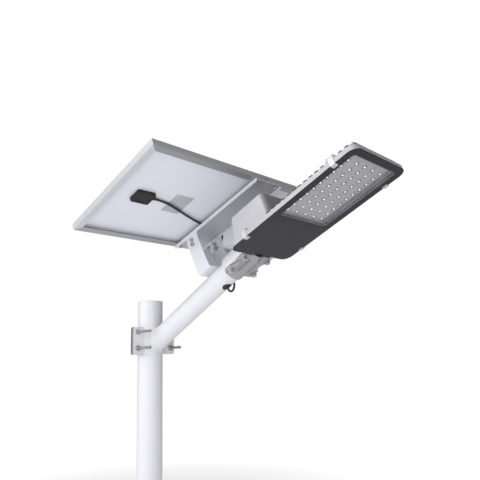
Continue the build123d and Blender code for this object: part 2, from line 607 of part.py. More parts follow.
# ---------------------------------------------------------------- battery box
def battery_box(post_h=14):
    shape = box_outside - box_solid(BOX_CAVITY, BOX_Y - BOX_WALL)
    # screw posts, each ribbed to the end wall and the side wall
    for x, y in BOX_SCREWS:
        post = cyl((x, y, RIM_Z), DIR_Z, 5.0, post_h)
        post += box(x, x + (9 if x > 60 else -9), y - 3, y + 3, RIM_Z, RIM_Z + post_h)
        post += box(x - 3, x + 3, y, y * 1.14, RIM_Z, RIM_Z + post_h)
        shape += post & box_outside
    return cut(shape, [cyl((x, y, RIM_Z - 1), DIR_Z, 2.02, 12) for x, y in BOX_SCREWS])


save("battery_box", LAMP * battery_box())
save("battery_box_screws", [LAMP * (cyl((x, y, BAY_TOP - 2.4), DIR_Z, 3.8, 2.4)
                                    + cyl((x, y, BAY_TOP), DIR_Z, 1.95, 12))
                            for x, y in BOX_SCREWS])


# ---------------------------------------------------------------- slip-fitter cap
def slipfitter_cap():
    arm_bore = cyl((FIT_X0 - 20, 0, 0), DIR_X, ARM_BORE_R, FIT_X1 - FIT_X0 + 40)
    shape = cyl((FIT_X0, 0, 0), DIR_X, FIT_CAP_R, FIT_X1 - FIT_X0)
    shape = shape & box(FIT_X0 - 5, FIT_X1 + 5, -60, 60, -60, FIT_CAP_TOP)
    flange = slab(FIT_X0 + 11, FIT_X1 - 2, FIT_Y, 9, FIT_CAP_TOP - 8, FIT_CAP_TOP)
    # round waist in each long side of the flange
    shape += cut(flange, [cyl((476.5, side * (FIT_Y + 6), FIT_CAP_TOP - 9), DIR_Z, 17, 10)
                          for side in SIDES])
    for x, y in FIT_BOLTS:
        shape += cyl((x, y, FIT_CAP_TOP - FIT_BOSS), DIR_Z, 9.2, FIT_BOSS)
    shape -= arm_bore
    for x, y in FIT_BOLTS:
        shape -= cyl((x, y, -60), DIR_Z, M8_R + 0.3, 60)
    shape -= extrude(Pos(511.0, 9.0, -60) * SlotOverall(15, 7, rotation=90), 60)
    for y in (-18, 18):
        shape += box(452, 500, y - 1.5, y + 1.5, -32.0, -24) - arm_bore
    return largest(shape)


FIT_SEAT = FIT_CAP_TOP - FIT_BOSS - M8_WASHER  # underside of the washers
save("slipfitter_cap", ARM * slipfitter_cap())
save("slipfitter_bolts", [ARM * bolt((x, y, FIT_SEAT), DIR_Z, M8_R, 21 if x > 480 else 23,
                                     M8_FLATS, M8_HEAD) for x, y in FIT_BOLTS])
save("slipfitter_washers", [ARM * washer((x, y, FIT_SEAT), DIR_Z, 8.5, M8_WASHER, M8_R)
                            for x, y in FIT_BOLTS])

# ---------------------------------------------------------------- cover, window
BEZEL_T = 1.6
GROOVE_Z = COVER_T - 1.6


def window_slab(grow, corner_r, z0, z1):
    """Slab with the window's outline, grown on every side."""
    return slab(WIN_X0 - grow, WIN_X1 + grow, WIN_Y + grow, corner_r, z0, z1)


cover = lamp_slab(0, COVER_T, SKIRT_T + 0.1)
cover = fillet(cover.faces().sort_by(Axis.Z)[0].edges(), 1.0)
cover -= window_slab(0, 9, -1, COVER_T + 1)
cover -= lamp_slab(GROOVE_Z, COVER_T + 1, 3.2) - lamp_slab(COVER_T - 3, COVER_T + 2, 5.8)
save("lamp_cover", LAMP * cover)
save("cover_gasket", LAMP * (lamp_slab(GROOVE_Z, COVER_T, 3.3)
                             - lamp_slab(COVER_T - 3, COVER_T + 2, 5.7)))
save("window_bezel", LAMP * (window_slab(-0.1, 8.9, 0.8, COVER_T - 0.1)
                             - window_slab(-BEZEL_T, 7.4, 0, COVER_T + 1)))
save("window_glass", LAMP * window_slab(1.0, 10, COVER_T + 0.05, COVER_T + 3.6))


def chamber_rim():
    """Rim round the glass, its inner walls leaning in towards the LED board."""
    def opening(inset, corner_r, z):
        plan = RectangleRounded(WIN_X1 - WIN_X0 - 2 * inset, 2 * (WIN_Y - inset), corner_r)
        return Pos((WIN_X0 + WIN_X1) / 2, 0, z) * plan

    rim = slab(WIN_X0 - 3.0, WIN_X1 + 8, WIN_Y + 8, 12, COVER_T + 0.05, LED_Z)
    rim -= loft([opening(BEZEL_T, 7.4, COVER_T + 3.6), opening(3, 6, LED_Z + 0.1)])
    return rim - window_slab(1.1, 10.1, COVER_T - 1, COVER_T + 3.65)


save("light_chamber_rim", LAMP * chamber_rim())

# ---------------------------------------------------------------- LED board
LEDS = [(LED_X0 + i * LED_DX, (j - 2) * LED_DY - 0.7) for i in range(10) for j in range(5)]


def square_block(x, y, half, z0, z1):
    return box(x - half, x + half, y - half, y + half, z0, z1)


def lens(x, y):
    """Dome pointing down from a flat disc, hollowed over the LED package."""
    shape = Pos(x, y, LED_Z - 0.5) * Cylinder(6.3, 1.0)
    dome = Pos(x, y, LED_Z - 0.9) * Sphere(4.6)
    shape += dome & square_block(x, y, 6, LED_Z - 3.9, LED_Z - 0.5)
    return shape - square_block(x, y, 2.1, LED_Z - 1.3, LED_Z + 1)


save("led_board", LAMP * slab(WIN_X0 - 2, WIN_X1 + 7, WIN_Y + 7, 6, LED_Z, 15.0))
save("led_packages", [LAMP * square_block(x, y, 1.75, LED_Z - 0.9, LED_Z) for x, y in LEDS])
save("led_lenses", [LAMP * lens(x, y) for x, y in LEDS])

# ---------------------------------------------------------------- battery
TRAY_T = 1.6
CELL_R, CELL_L, CELL_PITCH = 9.2, 65.2, 18.6
STACK_Z = RIM_Z + 1.7
STRAP_Z = STACK_Z + 4 * CELL_R + 0.4

tray = box(25, 107, -69, 69, RIM_Z, RIM_Z + TRAY_T)
for side in SIDES:
    tray += box(25, 107, side * 67.4, side * 69, RIM_Z, RIM_Z + 30)
save("battery_tray", LAMP * tray)


def battery_cell(y, layer, i):
    x, z = 66 + (i - 1.5) * CELL_PITCH, STACK_Z + CELL_R + layer * CELL_PITCH
    return LAMP * (cyl((x, y, z), DIR_Y, CELL_R, CELL_L)
                   + cyl((x, y + CELL_L, z), DIR_Y, 3.0, 0.3))


def strap(y0, y1):
    loop = box(28.0, 104, y0, y1, RIM_Z + TRAY_T, STRAP_Z + 0.9)
    return LAMP * (loop - box(28.8, 103.2, y0 - 1, y1 + 1, RIM_Z + 1.5, STRAP_Z + 0.1))


save("battery_cells", [battery_cell(y, layer, i)
                       for y in (-66.6, 1.0) for layer in (0, 1) for i in range(4)])
save("battery_straps", [strap(-40, -28), strap(28, 40)])

# ---------------------------------------------------------------- controller, wires
PCB_Z, PCB_TOP = 9.0, 10.6
STANDOFFS = [(x, y) for x in (19.5, 112.5) for y in (-45, 45)]
# x0, x1, y0, y1, top z of the block parts
PCB_BLOCKS = ((40, 52, -30, -18, 15.5), (60, 84, 10, 26, 16.2), (34, 48, 16, 30, 13.0),
              (88, 100, -30, -6, 14.5))

pcb = cut(slab(15, 117, 50, 3, PCB_Z, PCB_TOP),
          [cyl((x, y, 8), DIR_Z, 1.7, 4) for x, y in STANDOFFS])
save("controller_board", LAMP * pcb)
save("board_standoffs", [LAMP * tube((x, y, PCB_TOP), DIR_Z, 3.2, 1.5, 6.4)
                         for x, y in STANDOFFS])
save("board_screws", [LAMP * (cyl((x, y, 7.2), DIR_Z, 2.9, 1.8)
                              + cyl((x, y, PCB_Z), DIR_Z, 1.45, 7.5)) for x, y in STANDOFFS])
pcb_parts = [box(x0, x1, y0, y1, PCB_TOP, top) for x0, x1, y0, y1, top in PCB_BLOCKS]
pcb_parts += [cyl((x, -20, PCB_TOP), DIR_Z, 5, 8.2) for x in (66, 79)]
pcb_parts += [box(20.0, 28.0, -14, 14, PCB_TOP, 16.4)]
save("controller_parts", [LAMP * part for part in pcb_parts])

arm_lead = rope([(-15.4, 0, 25.6), (-11.8, 0, 20.4), (-7.4, 0, 15.6), (0, 0, 14.2),
                 (8, 0, 13.7), (19.4, 0, 13.4)], 2.2, (1, 0, -1), DIR_X)
led_lead = rope([(117.4, 20, 12.2), (128, 21, 12.0), (140, 24, 12.4), (149.0, 25, 12.6)],
                1.4, DIR_X, DIR_X)
save("lamp_wires", [LAMP * arm_lead, LAMP * led_lead])


# ---------------------------------------------------------------- cover clips
def clip(x, side):
    """Bent strip hung on its pin and hooked under the cover."""
    outer_y, foot_z = -CLIP_Y - 3.0, -0.3 - CLIP_T
    section = Pos(-CLIP_Y, CLIP_Z) * Circle(3.0)
    section += (Pos(outer_y + CLIP_T / 2, (CLIP_Z + foot_z) / 2)
                * Rectangle(CLIP_T, CLIP_Z - foot_z))
    section += (Pos((outer_y - CLIP_TIP) / 2, -0.3 - CLIP_T / 2)
                * Rectangle(-CLIP_TIP - outer_y, CLIP_T))
    section += Pos(-CLIP_TIP - CLIP_T / 2, foot_z) * Rectangle(CLIP_T, 1.6)
    section -= Pos(-CLIP_Y, CLIP_Z) * Circle(1.58)
    strip = extrude_x(section, x - CLIP_W / 2, CLIP_W)
    return LAMP * (mirror(strip, Plane.XZ) if side > 0 else strip)


save("clip_pins", [LAMP * cyl((x - 10.7, side * CLIP_Y, CLIP_Z), DIR_X, 1.5, 21.4)
                   for x in CLIP_X for side in SIDES])
for place, clip_x in zip(("near", "far"), CLIP_X):
    for hand, side in zip(("left", "right"), SIDES):
        save(f"clip_{place}_{hand}", clip(clip_x, side))
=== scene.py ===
# Solar street lamp: a pole clamp on the Z axis, an arm reaching out towards +X with the lamp on it,
# and a tilting solar panel above the arm. Everything lies about the plane y = 0.
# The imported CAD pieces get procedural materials; the cable, the weld beads and the grommet are
# modelled here. World units are metres; the local frames below work in mm.
import json
import math

import bmesh
import bpy
import numpy as np
from mathutils import Matrix, Vector


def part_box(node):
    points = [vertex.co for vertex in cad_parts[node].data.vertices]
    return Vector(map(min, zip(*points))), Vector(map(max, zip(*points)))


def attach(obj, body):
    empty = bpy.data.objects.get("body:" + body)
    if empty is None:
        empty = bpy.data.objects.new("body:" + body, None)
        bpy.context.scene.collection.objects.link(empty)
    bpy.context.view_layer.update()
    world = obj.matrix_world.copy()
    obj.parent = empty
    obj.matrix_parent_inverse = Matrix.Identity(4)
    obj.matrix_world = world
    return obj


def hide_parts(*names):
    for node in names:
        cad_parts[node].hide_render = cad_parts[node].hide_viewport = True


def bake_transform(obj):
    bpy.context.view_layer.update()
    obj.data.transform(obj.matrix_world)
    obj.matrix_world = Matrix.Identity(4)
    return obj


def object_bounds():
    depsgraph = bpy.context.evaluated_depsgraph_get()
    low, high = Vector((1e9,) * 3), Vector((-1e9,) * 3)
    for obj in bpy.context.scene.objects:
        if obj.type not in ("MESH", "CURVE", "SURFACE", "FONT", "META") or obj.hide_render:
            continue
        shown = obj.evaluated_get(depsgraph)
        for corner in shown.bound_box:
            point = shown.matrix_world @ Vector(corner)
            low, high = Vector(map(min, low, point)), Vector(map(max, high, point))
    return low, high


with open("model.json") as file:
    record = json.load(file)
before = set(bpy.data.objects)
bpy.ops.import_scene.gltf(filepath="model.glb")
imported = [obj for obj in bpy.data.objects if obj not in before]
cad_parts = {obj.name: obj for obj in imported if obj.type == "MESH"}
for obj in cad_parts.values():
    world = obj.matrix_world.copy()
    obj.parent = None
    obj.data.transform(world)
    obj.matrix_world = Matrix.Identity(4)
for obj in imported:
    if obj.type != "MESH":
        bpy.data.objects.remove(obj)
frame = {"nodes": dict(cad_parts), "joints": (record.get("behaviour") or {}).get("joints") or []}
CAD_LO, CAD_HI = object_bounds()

NODES = frame["nodes"]
JOINTS = {joint["name"]: joint for joint in frame["joints"]}
SCENE = bpy.context.scene
MM = 0.001
WORLD_Y = Vector((0, 1, 0))


# ------------------------------------------------------------ local frames, read from the model
def vertices(*names):
    """All vertices of the named nodes, in metres."""
    return np.concatenate([
        np.array([v.co for v in NODES[name].data.vertices], float).reshape(-1, 3)
        for name in names])


def main_normal(name):
    """The direction of the node's largest flat face that leans up."""
    areas = {}
    for face in NODES[name].data.polygons:
        key = tuple(round(c, 3) for c in face.normal)
        areas[key] = areas.get(key, 0.0) + face.area
    leaning_up = (key for key in areas if abs(key[1]) < 0.01 and key[2] > 0.3)
    normal = Vector(max(leaning_up, key=lambda key: areas[key]))
    normal.y = 0.0
    return normal.normalized()


class Frame:
    """Axes u and n lie in the XZ plane, v is world Y; lengths in mm."""

    def __init__(self, u, n, origin):
        self.u, self.n, self.origin = u, n, origin

    def point(self, u, v, n):
        """World place of a point given in this frame."""
        return self.origin + (self.u * u + WORLD_Y * v + self.n * n) * MM

    def measure(self, node, axis):
        """Places of the node's vertices along an axis, from the origin."""
        return (vertices(node) - np.array(self.origin)) @ np.array(axis) * 1000


def frame_on_face(face_node, *extent_nodes):
    """u along the face, n square to it; the origin is the low corner of the extent nodes."""
    n = main_normal(face_node)
    u = Vector((n.z, 0, -n.x))
    points = vertices(*extent_nodes)
    low_u = float((points @ np.array(u)).min())
    low_n = float((points @ np.array(n)).min())
    return Frame(u, n, u * low_u + n * low_n)


PANEL = frame_on_face("panel_glass", "panel_rail_low", "panel_rail_high",
                      "panel_rail_left", "panel_rail_right")
LAMP = frame_on_face("window_glass", "lamp_cover")
LAMP_ORIGIN_SHIFT = 1.7     # the frame starts this far before the lamp cover, along -u
LAMP.origin = LAMP.origin - LAMP.u * LAMP_ORIGIN_SHIFT * MM

arm_axis = Vector(JOINTS["lamp_roll"]["axis"]).normalized()
ARM = Frame(arm_axis, Vector((-arm_axis.z, 0, arm_axis.x)), Vector(JOINTS["lamp_roll"]["pos_m"]))
TILT_PIVOT = Vector(JOINTS["panel_tilt"]["pos_m"])

# pitches and places the materials share, mm
CELL_PITCH_U, CELL_PITCH_V = 81.5, 77.6     # solar cells, panel frame
LED_PITCH_U, LED_PITCH_V = 20.44, 32.85     # LED packages, lamp frame
LED_U, LED_V = 173.9, -0.7                  # one LED package's centre
SCREW_PITCH = 1.25


# ------------------------------------------------------------ shader tree builder
class Graph:
    """Builds the shader tree of a material or world. Values are sockets, numbers or tuples."""

    def __init__(self, owner, output="ShaderNodeOutputMaterial"):
        owner.use_nodes = True
        self.owner = owner
        self.tree = owner.node_tree
        self.tree.nodes.clear()
        self.output = self.tree.nodes.new(output)
        self._position = None

    def put(self, socket, value):
        if isinstance(value, bpy.types.NodeSocket):
            self.tree.links.new(value, socket)
            return
        if isinstance(value, (tuple, Vector)):
            value = tuple(value)
            if len(socket.default_value) == 4 and len(value) == 3:
                value += (1.0,)
        socket.default_value = value

    def node(self, kind, *values, props=None, **named):
        """A new node; values fill its inputs in order, named ones by name (_ for a space)."""
        node = self.tree.nodes.new(kind)
        for key, value in (props or {}).items():
            setattr(node, key, value)
        for i, value in enumerate(values):
            self.put(node.inputs[i], value)
        for key, value in named.items():
            self.put(node.inputs[key.replace("_", " ")], value)
        return node

    def done(self, shader):
        self.tree.links.new(shader, self.output.inputs["Surface"])
        return self.owner

    # -- places and directions
    @property
    def position(self):
        if self._position is None:
            self._position = self.node("ShaderNodeTexCoord").outputs["Object"]
        return self._position

    def normal(self):
        return self.node("ShaderNodeTexCoord").outputs["Normal"]

    def local(self, local_frame, wanted):
        """The wanted coordinates, letters of "uvn", in mm in a local frame."""
        offset = self.vector_math("SUBTRACT", self.position, local_frame.origin)
        axes = {"u": local_frame.u, "v": WORLD_Y, "n": local_frame.n}
        return [self.mul(self.dot(offset, axes[letter]), 1000.0) for letter in wanted]

    def stretched(self, x, y, z):
        return self.vector_math("MULTIPLY", self.position, (x, y, z))

    def xyz(self, x, y, z):
        return self.node("ShaderNodeCombineXYZ", x, y, z).outputs[0]

    def separate(self, vector):
        return self.node("ShaderNodeSeparateXYZ", vector).outputs

    # -- arithmetic
    def math(self, operation, *values, clamp=False):
        props = {"operation": operation, "use_clamp": clamp}
        return self.node("ShaderNodeMath", *values, props=props).outputs[0]

    def add(self, a, b):
        return self.math("ADD", a, b)

    def sub(self, a, b):
        return self.math("SUBTRACT", a, b)

    def mul(self, a, b):
        return self.math("MULTIPLY", a, b)

    def plus(self, a, b, share):
        """a + b * share"""
        return self.add(a, self.mul(b, share))

    def absolute(self, value):
        return self.math("ABSOLUTE", value)

    def above(self, value, limit):
        return self.math("GREATER_THAN", value, limit)

    def below(self, value, limit):
        return self.math("LESS_THAN", value, limit)

    def hypot(self, a, b):
        return self.math("SQRT", self.add(self.mul(a, a), self.mul(b, b)))

    def fold(self, place, pitch, shift=None):
        """Distance to the nearest multiple of the pitch, in pitches: 0 to 0.5."""
        turns = self.math("DIVIDE", place, pitch)
        if shift is not None:
            turns = self.add(turns, shift)
        return self.math("PINGPONG", turns, 0.5)

    def vector_math(self, operation, *values, result="Vector"):
        props = {"operation": operation}
        return self.node("ShaderNodeVectorMath", *values, props=props).outputs[result]

    def dot(self, a, b):
        return self.vector_math("DOT_PRODUCT", a, b, result="Value")

    def remap(self, value, of=(0.3, 0.7), to=(0.0, 1.0), **props):
        return self.node("ShaderNodeMapRange", value, *of, *to, props=props).outputs[0]

    # -- patterns
    def noise(self, scale=1.0, detail=2, rough=0.5, at=None):
        node = self.node("ShaderNodeTexNoise", Scale=scale, Detail=detail, Roughness=rough)
        self.put(node.inputs["Vector"], at if at is not None else self.position)
        return node.outputs["Fac"]

    def voronoi(self, scale, at=None, result="Distance"):
        node = self.node("ShaderNodeTexVoronoi", Scale=scale)
        self.put(node.inputs["Vector"], at if at is not None else self.position)
        return node.outputs[result]

    def ramp(self, value, *stops):
        """Grey ramp through two (position, grey) stops."""
        node = self.node("ShaderNodeValToRGB", value)
        for element, (position, grey) in zip(node.color_ramp.elements, stops):
            element.position = position
            element.color = (grey, grey, grey, 1)
        return node.outputs[0]

    def patches(self, low, high, **noise):
        """Mask that starts where the noise passes low and is full at high."""
        return self.ramp(self.noise(**noise), (low, 0.0), (high, 1.0))

    # -- colour and shading
    def mix(self, where, under, over, amount=None):
        if amount is not None:
            where = self.mul(where, amount)
        node = self.node("ShaderNodeMix", where, props={"data_type": "RGBA"})
        self.put(node.inputs[6], under)
        self.put(node.inputs[7], over)
        return node.outputs[2]

    def bump(self, height, depth, strength, normal=None):
        node = self.node("ShaderNodeBump", Strength=strength, Distance=depth, Height=height)
        if normal is not None:
            self.put(node.inputs["Normal"], normal)
        return node.outputs[0]

    def edge(self, radius):
        """Normal that rounds off sharp edges, radius in metres."""
        return self.node("ShaderNodeBevel", props={"samples": 3}, Radius=radius).outputs[0]

    def shader(self, kind, **named):
        return self.node("ShaderNode" + kind, **named).outputs[0]

    def bsdf(self, colour, rough, normal, metal=0.0, **more):
        return self.shader("BsdfPrincipled", Base_Color=colour, Roughness=rough,
                           Metallic=metal, Normal=normal, **more)

    def shader_mix(self, where, under, over):
        return self.node("ShaderNodeMixShader", where, under, over).outputs[0]


def new_graph(name):
    return Graph(bpy.data.materials.new(name))


def shade(colour, factor):
    return tuple(c * factor for c in colour)


# ------------------------------------------------------------ paint and metal
def outer_y_faces(g):
    """Mask of the faces turned along Y that lie over 55 mm from the centre plane."""
    turned = g.absolute(g.separate(g.normal())[1])
    away = g.absolute(g.separate(g.position)[1])
    return g.mul(g.above(turned, limit=0.55), g.above(away, limit=0.055))


def grey_outer_faces(g, colour):
    """Grey on the clamp half's outermost Y faces."""
    grey = g.mix(g.noise(scale=160.0, detail=4, rough=0.6), (0.20, 0.20, 0.21), (0.27, 0.27, 0.28))
    return g.mix(outer_y_faces(g), colour, grey)


def channel_underside_painted_shade(g, colour):
    """Painted shade: grey on the channel's middle faces that look away from the panel, darker along
    u, for the shadow of the lamp and battery box.
    """
    u, v, n = g.local(PANEL, "uvn")
    facing = g.dot(g.normal(), PANEL.n)
    middle = g.mul(g.below(g.absolute(v), limit=45.6), g.above(n, limit=-4.0))
    under = g.mul(g.below(facing, limit=-0.9), middle)
    # painted shade: the shadow of the lamp and battery box on the web, deepest towards the upper
    # end
    grey = g.mix(g.remap(u, of=(20.0, 340.0)), (0.56, 0.56, 0.61), (0.37, 0.365, 0.40))
    return g.mix(under, colour, grey)


def white_paint(name, tone_and_painted_shade=None):
    g = new_graph(name)
    cloud = g.noise(scale=9.0, detail=3, rough=0.55)
    fine = g.noise(scale=900.0)
    peel = g.noise(scale=420.0, rough=0.45)
    dust = g.patches(low=0.52, high=0.78, scale=60.0, detail=5, rough=0.62)
    colour = g.mix(g.remap(cloud), (0.82, 0.82, 0.85), (0.7913, 0.78884, 0.8075), amount=0.5)
    colour = g.mix(dust, colour, (0.60, 0.59, 0.56), amount=0.10)
    # the hook adds colour tone and painted light or shade to the paint
    if tone_and_painted_shade:
        colour = tone_and_painted_shade(g, colour)
    rough = g.plus(g.remap(cloud, of=(0.2, 0.8), to=(0.24, 0.36)), dust, share=0.16)
    height = g.plus(peel, fine, share=0.25)
    normal = g.bump(height, depth=0.00006, strength=0.55, normal=g.edge(radius=0.0009))
    return g.done(g.bsdf(colour, rough, normal, Coat_Weight=0.25, Coat_Roughness=0.12, IOR=1.5))


def weld_paint():
    g = new_graph("weld_white")
    cloud = g.noise(scale=140.0, detail=4, rough=0.6)
    peel = g.noise(scale=500.0)
    colour = g.mix(g.remap(cloud, of=(0.35, 0.7)), (0.80, 0.80, 0.812), (0.72, 0.715, 0.70))
    normal = g.bump(peel, depth=0.0001, strength=0.6)
    rough = g.remap(cloud, to=(0.28, 0.42))
    return g.done(g.bsdf(colour, rough, normal, Coat_Weight=0.2, Coat_Roughness=0.15))


def zinc_clamp():
    g = new_graph("zinc_clamp")
    cloud = g.noise(scale=30.0, detail=4, rough=0.6)
    grain = g.noise(scale=1100.0)
    spangle = g.node("ShaderNodeSeparateColor", g.voronoi(scale=220.0, result="Color")).outputs
    colour = g.mix(g.remap(cloud, of=(0.35, 0.65)), (0.33, 0.332, 0.345), (0.42, 0.423, 0.435))
    colour = g.mix(spangle[0], colour, (0.52, 0.525, 0.54), amount=0.25)
    colour = g.mix(outer_y_faces(g), colour, (0.11, 0.11, 0.115), amount=0.85)
    rough = g.remap(spangle[1], of=(0.0, 1.0), to=(0.42, 0.56))
    normal = g.bump(grain, depth=0.00005, strength=0.5, normal=g.edge(radius=0.0006))
    return g.done(g.bsdf(colour, rough, normal, metal=0.4))


def zinc_steel(name, thread_span=None):
    """Zinc-plated fastener. Between the two places of thread_span (mm along X) it is threaded."""
    g = new_graph(name)
    cloud = g.noise(scale=120.0, detail=4, rough=0.6)
    fine = g.noise(at=g.stretched(2600.0, 2600.0, 2600.0))
    colour = g.mix(g.remap(cloud), (0.46, 0.465, 0.48), (0.60, 0.60, 0.605))
    stain = g.patches(low=0.58, high=0.8, scale=45.0, detail=5, rough=0.6)
    colour = g.mix(stain, colour, (0.42, 0.37, 0.30), amount=0.25)
    rough = g.plus(g.remap(cloud, of=(0.2, 0.8), to=(0.20, 0.34)), stain, share=0.2)
    normal = g.edge(radius=0.0004)
    if thread_span is not None:
        def along_x(scale):
            return g.mul(g.dot(g.position, (1, 0, 0)), scale)

        wave = g.math("PINGPONG", along_x(1000.0 / SCREW_PITCH), 0.5)
        inside = g.mul(g.above(along_x(1000.0), thread_span[0]),
                       g.below(along_x(1000.0), thread_span[1]))
        thread = g.mul(wave, inside)
        normal = g.bump(thread, depth=0.0011, strength=0.9, normal=normal)
        # the wave peaks at a half, so doubling it leaves only the valleys dark: painted shade in
        # the thread roots
        valley_shade = g.sub(inside, g.mul(thread, 2.0))
        colour = g.mix(valley_shade, colour, (0.08, 0.08, 0.08), amount=0.7)
    height = g.mul(fine, 0.12)
    normal = g.bump(height, depth=0.00004, strength=0.4, normal=normal)
    return g.done(g.bsdf(colour, rough, normal, metal=0.92))


def frame_aluminium(name, along_y=True, shaded_side=None):
    """Satin extrusion, die lines along Y or along the panel's u; faces turned to shaded_side get
    painted shade.
    """
    g = new_graph(name)
    along, across = 4.0, 1700.0     # noise scale along and across the die lines
    scale_u, scale_v = (across, along) if along_y else (along, across)
    lines = g.noise(detail=3, rough=0.6, at=g.xyz(
        g.mul(g.dot(g.position, PANEL.u), scale_u),
        g.mul(g.dot(g.position, WORLD_Y), scale_v),
        g.mul(g.dot(g.position, PANEL.n), across)))
    cloud = g.noise(scale=14.0, detail=3)
    speck = g.patches(low=0.62, high=0.75, scale=240.0, detail=4, rough=0.65)
    colour = g.mix(g.remap(lines), (0.66, 0.67, 0.69), (0.78, 0.785, 0.80))
    colour = g.mix(speck, colour, (0.52, 0.52, 0.52), amount=0.12)
    if shaded_side is not None:
        # painted shade on the faces turned to the shaded side
        dim = g.remap(g.dot(g.normal(), shaded_side), of=(0.4, 0.8), to=(0.0, 0.6))
        colour = g.mix(dim, colour, (0.17, 0.171, 0.177))
    rough = g.plus(g.remap(lines, of=(0.25, 0.75), to=(0.34, 0.48)), g.remap(cloud), share=0.06)
    normal = g.bump(lines, depth=0.00003, strength=0.5, normal=g.edge(radius=0.0004))
    return g.done(g.bsdf(colour, rough, normal, metal=0.72))


def brushed(name, base, stretch, metal=0.9, rough=(0.24, 0.4)):
    """Brushed metal; stretch is the noise scale along X, Y and Z, rough its span."""
    g = new_graph(name)
    lines = g.noise(detail=3, rough=0.6, at=g.stretched(*stretch))
    cloud = g.noise(scale=60.0, detail=4, rough=0.55)
    colour = g.mix(g.remap(lines), shade(base, 0.85), base)
    roughness = g.plus(g.remap(lines, to=rough), g.remap(cloud, of=(0.4, 0.7)), share=0.08)
    normal = g.bump(lines, depth=0.00003, strength=0.5, normal=g.edge(radius=0.0003))
    return g.done(g.bsdf(colour, roughness, normal, metal=metal))


# ------------------------------------------------------------ lamp castings
def housing_painted_light_and_shade(g, colour):
    """Painted light on the arm saddle, painted shade on the fin tips and the far end, and a black
    lip next to the cover.
    """
    u, v, n = g.local(ARM, "uvn")
    # painted light: the housing's saddle round the arm is made brighter
    near_axis = g.remap(g.hypot(v, n), of=(54.0, 60.0), to=(1.0, 0.0))
    span = g.mul(g.remap(u, of=(412.0, 420.0)), g.remap(u, of=(521.0, 526.0), to=(1.0, 0.0)))
    colour = g.mix(g.mul(near_axis, span), colour, (0.80, 0.80, 0.82))
    u, v, n = g.local(LAMP, "uvn")
    # painted shade on the fin tips above the box
    inside = g.mul(g.above(u, limit=132.0), g.below(g.absolute(v), limit=101.4))
    fins = g.mul(g.remap(n, of=(18.6, 20.6)), inside)
    colour = g.mix(fins, colour, (0.10, 0.10, 0.104), amount=0.80)
    # painted shade on the far-end faces that look along u
    facing = g.remap(g.dot(g.normal(), LAMP.u), of=(0.5, 0.9), to=(0.0, 0.45))
    colour = g.mix(g.mul(facing, g.above(u, limit=380.0)), colour, (0.22, 0.22, 0.225))
    lip = g.mul(g.below(n, limit=0.75), g.above(u, limit=-1.0))
    return g.mix(lip, colour, (0.03, 0.03, 0.033))


def box_end_painted_shade(g, colour):
    """Painted shade where the battery box faces along the lamp's u."""
    facing = g.remap(g.dot(g.normal(), LAMP.u), of=(0.2, 0.75), to=(0.0, 0.75))
    return g.mix(facing, colour, (0.12, 0.12, 0.125))


def cast_silver(name, base, metal, tone_and_painted_shade=None):
    g = new_graph(name)
    cast = g.noise(scale=260.0, detail=4, rough=0.62)
    fine = g.noise(scale=1300.0)
    cloud = g.noise(scale=12.0, detail=4, rough=0.55)
    grime = g.patches(low=0.52, high=0.8, scale=55.0, detail=5, rough=0.62)
    colour = g.mix(g.remap(cloud), base, shade(base, 0.93))
    colour = g.mix(g.remap(fine, of=(0.55, 0.75)), colour, shade(base, 1.22), amount=0.35)
    colour = g.mix(grime, colour, (0.36, 0.35, 0.33), amount=0.14)
    if tone_and_painted_shade:
        colour = tone_and_painted_shade(g, colour)
    rough = g.plus(g.remap(cast, to=(0.38, 0.52)), grime, share=0.12)
    height = g.plus(cast, fine, share=0.4)
    normal = g.bump(height, depth=0.00011, strength=0.6, normal=g.edge(radius=0.0009))
    return g.done(g.bsdf(colour, rough, normal, metal=metal))


def cover_black():
    g = new_graph("cover_black")
    painted_shade_span = (120.0, 190.0)     # along the lamp's u, mm
    fine = g.noise(scale=1500.0, rough=0.55)
    cast = g.noise(scale=340.0, detail=3, rough=0.55)
    cloud = g.noise(scale=13.0, detail=4, rough=0.55)
    dust = g.patches(low=0.55, high=0.85, scale=42.0, detail=6, rough=0.66)
    colour = g.mix(g.remap(cloud), (0.017, 0.0165, 0.020), (0.022, 0.0215, 0.025))
    u, = g.local(LAMP, "u")
    # painted shade: the cover is darker past u 120 to 190, and its specks fade the same way
    colour = g.mix(g.remap(u, of=painted_shade_span), colour, (0.0075, 0.0073, 0.009))
    speck = g.mul(g.remap(fine, of=(0.58, 0.8)), g.remap(u, of=painted_shade_span, to=(0.4, 0.2)))
    colour = g.mix(speck, colour, (0.06, 0.06, 0.065))
    colour = g.mix(dust, colour, (0.15, 0.145, 0.14), amount=0.12)
    rough = g.plus(g.remap(cast, to=(0.42, 0.54)), dust, share=0.12)
    height = g.plus(fine, cast, share=0.8)
    normal = g.bump(height, depth=0.00009, strength=0.55, normal=g.edge(radius=0.0008))
    return g.done(g.bsdf(colour, rough, normal))


def chamber_grey(name, dim=1.0):
    g = new_graph(name)
    fine = g.noise(scale=1200.0)
    cloud = g.noise(scale=30.0, detail=4, rough=0.55)
    colour = g.mix(g.remap(cloud), shade((0.36, 0.36, 0.375), dim), shade((0.42, 0.42, 0.435), dim))
    normal = g.bump(fine, depth=0.00005, strength=0.5, normal=g.edge(radius=0.0005))
    return g.done(g.bsdf(colour, g.remap(cloud, to=(0.40, 0.55)), normal, metal=0.1))


# ------------------------------------------------------------ plastic, rubber, fabric
def black_plastic(name, base):
    g = new_graph(name)
    grain = g.noise(scale=1400.0, detail=3, rough=0.6)
    cell = g.voronoi(scale=1100.0)
    dust = g.patches(low=0.5, high=0.8, scale=80.0, detail=5, rough=0.6)
    colour = g.mix(dust, base, (0.06, 0.059, 0.057), amount=0.18)
    rough = g.plus(g.remap(grain, to=(0.42, 0.58)), dust, share=0.15)
    height = g.plus(grain, cell, share=0.5)
    normal = g.bump(height, depth=0.00007, strength=0.6, normal=g.edge(radius=0.0006))
    return g.done(g.bsdf(colour, rough, normal))


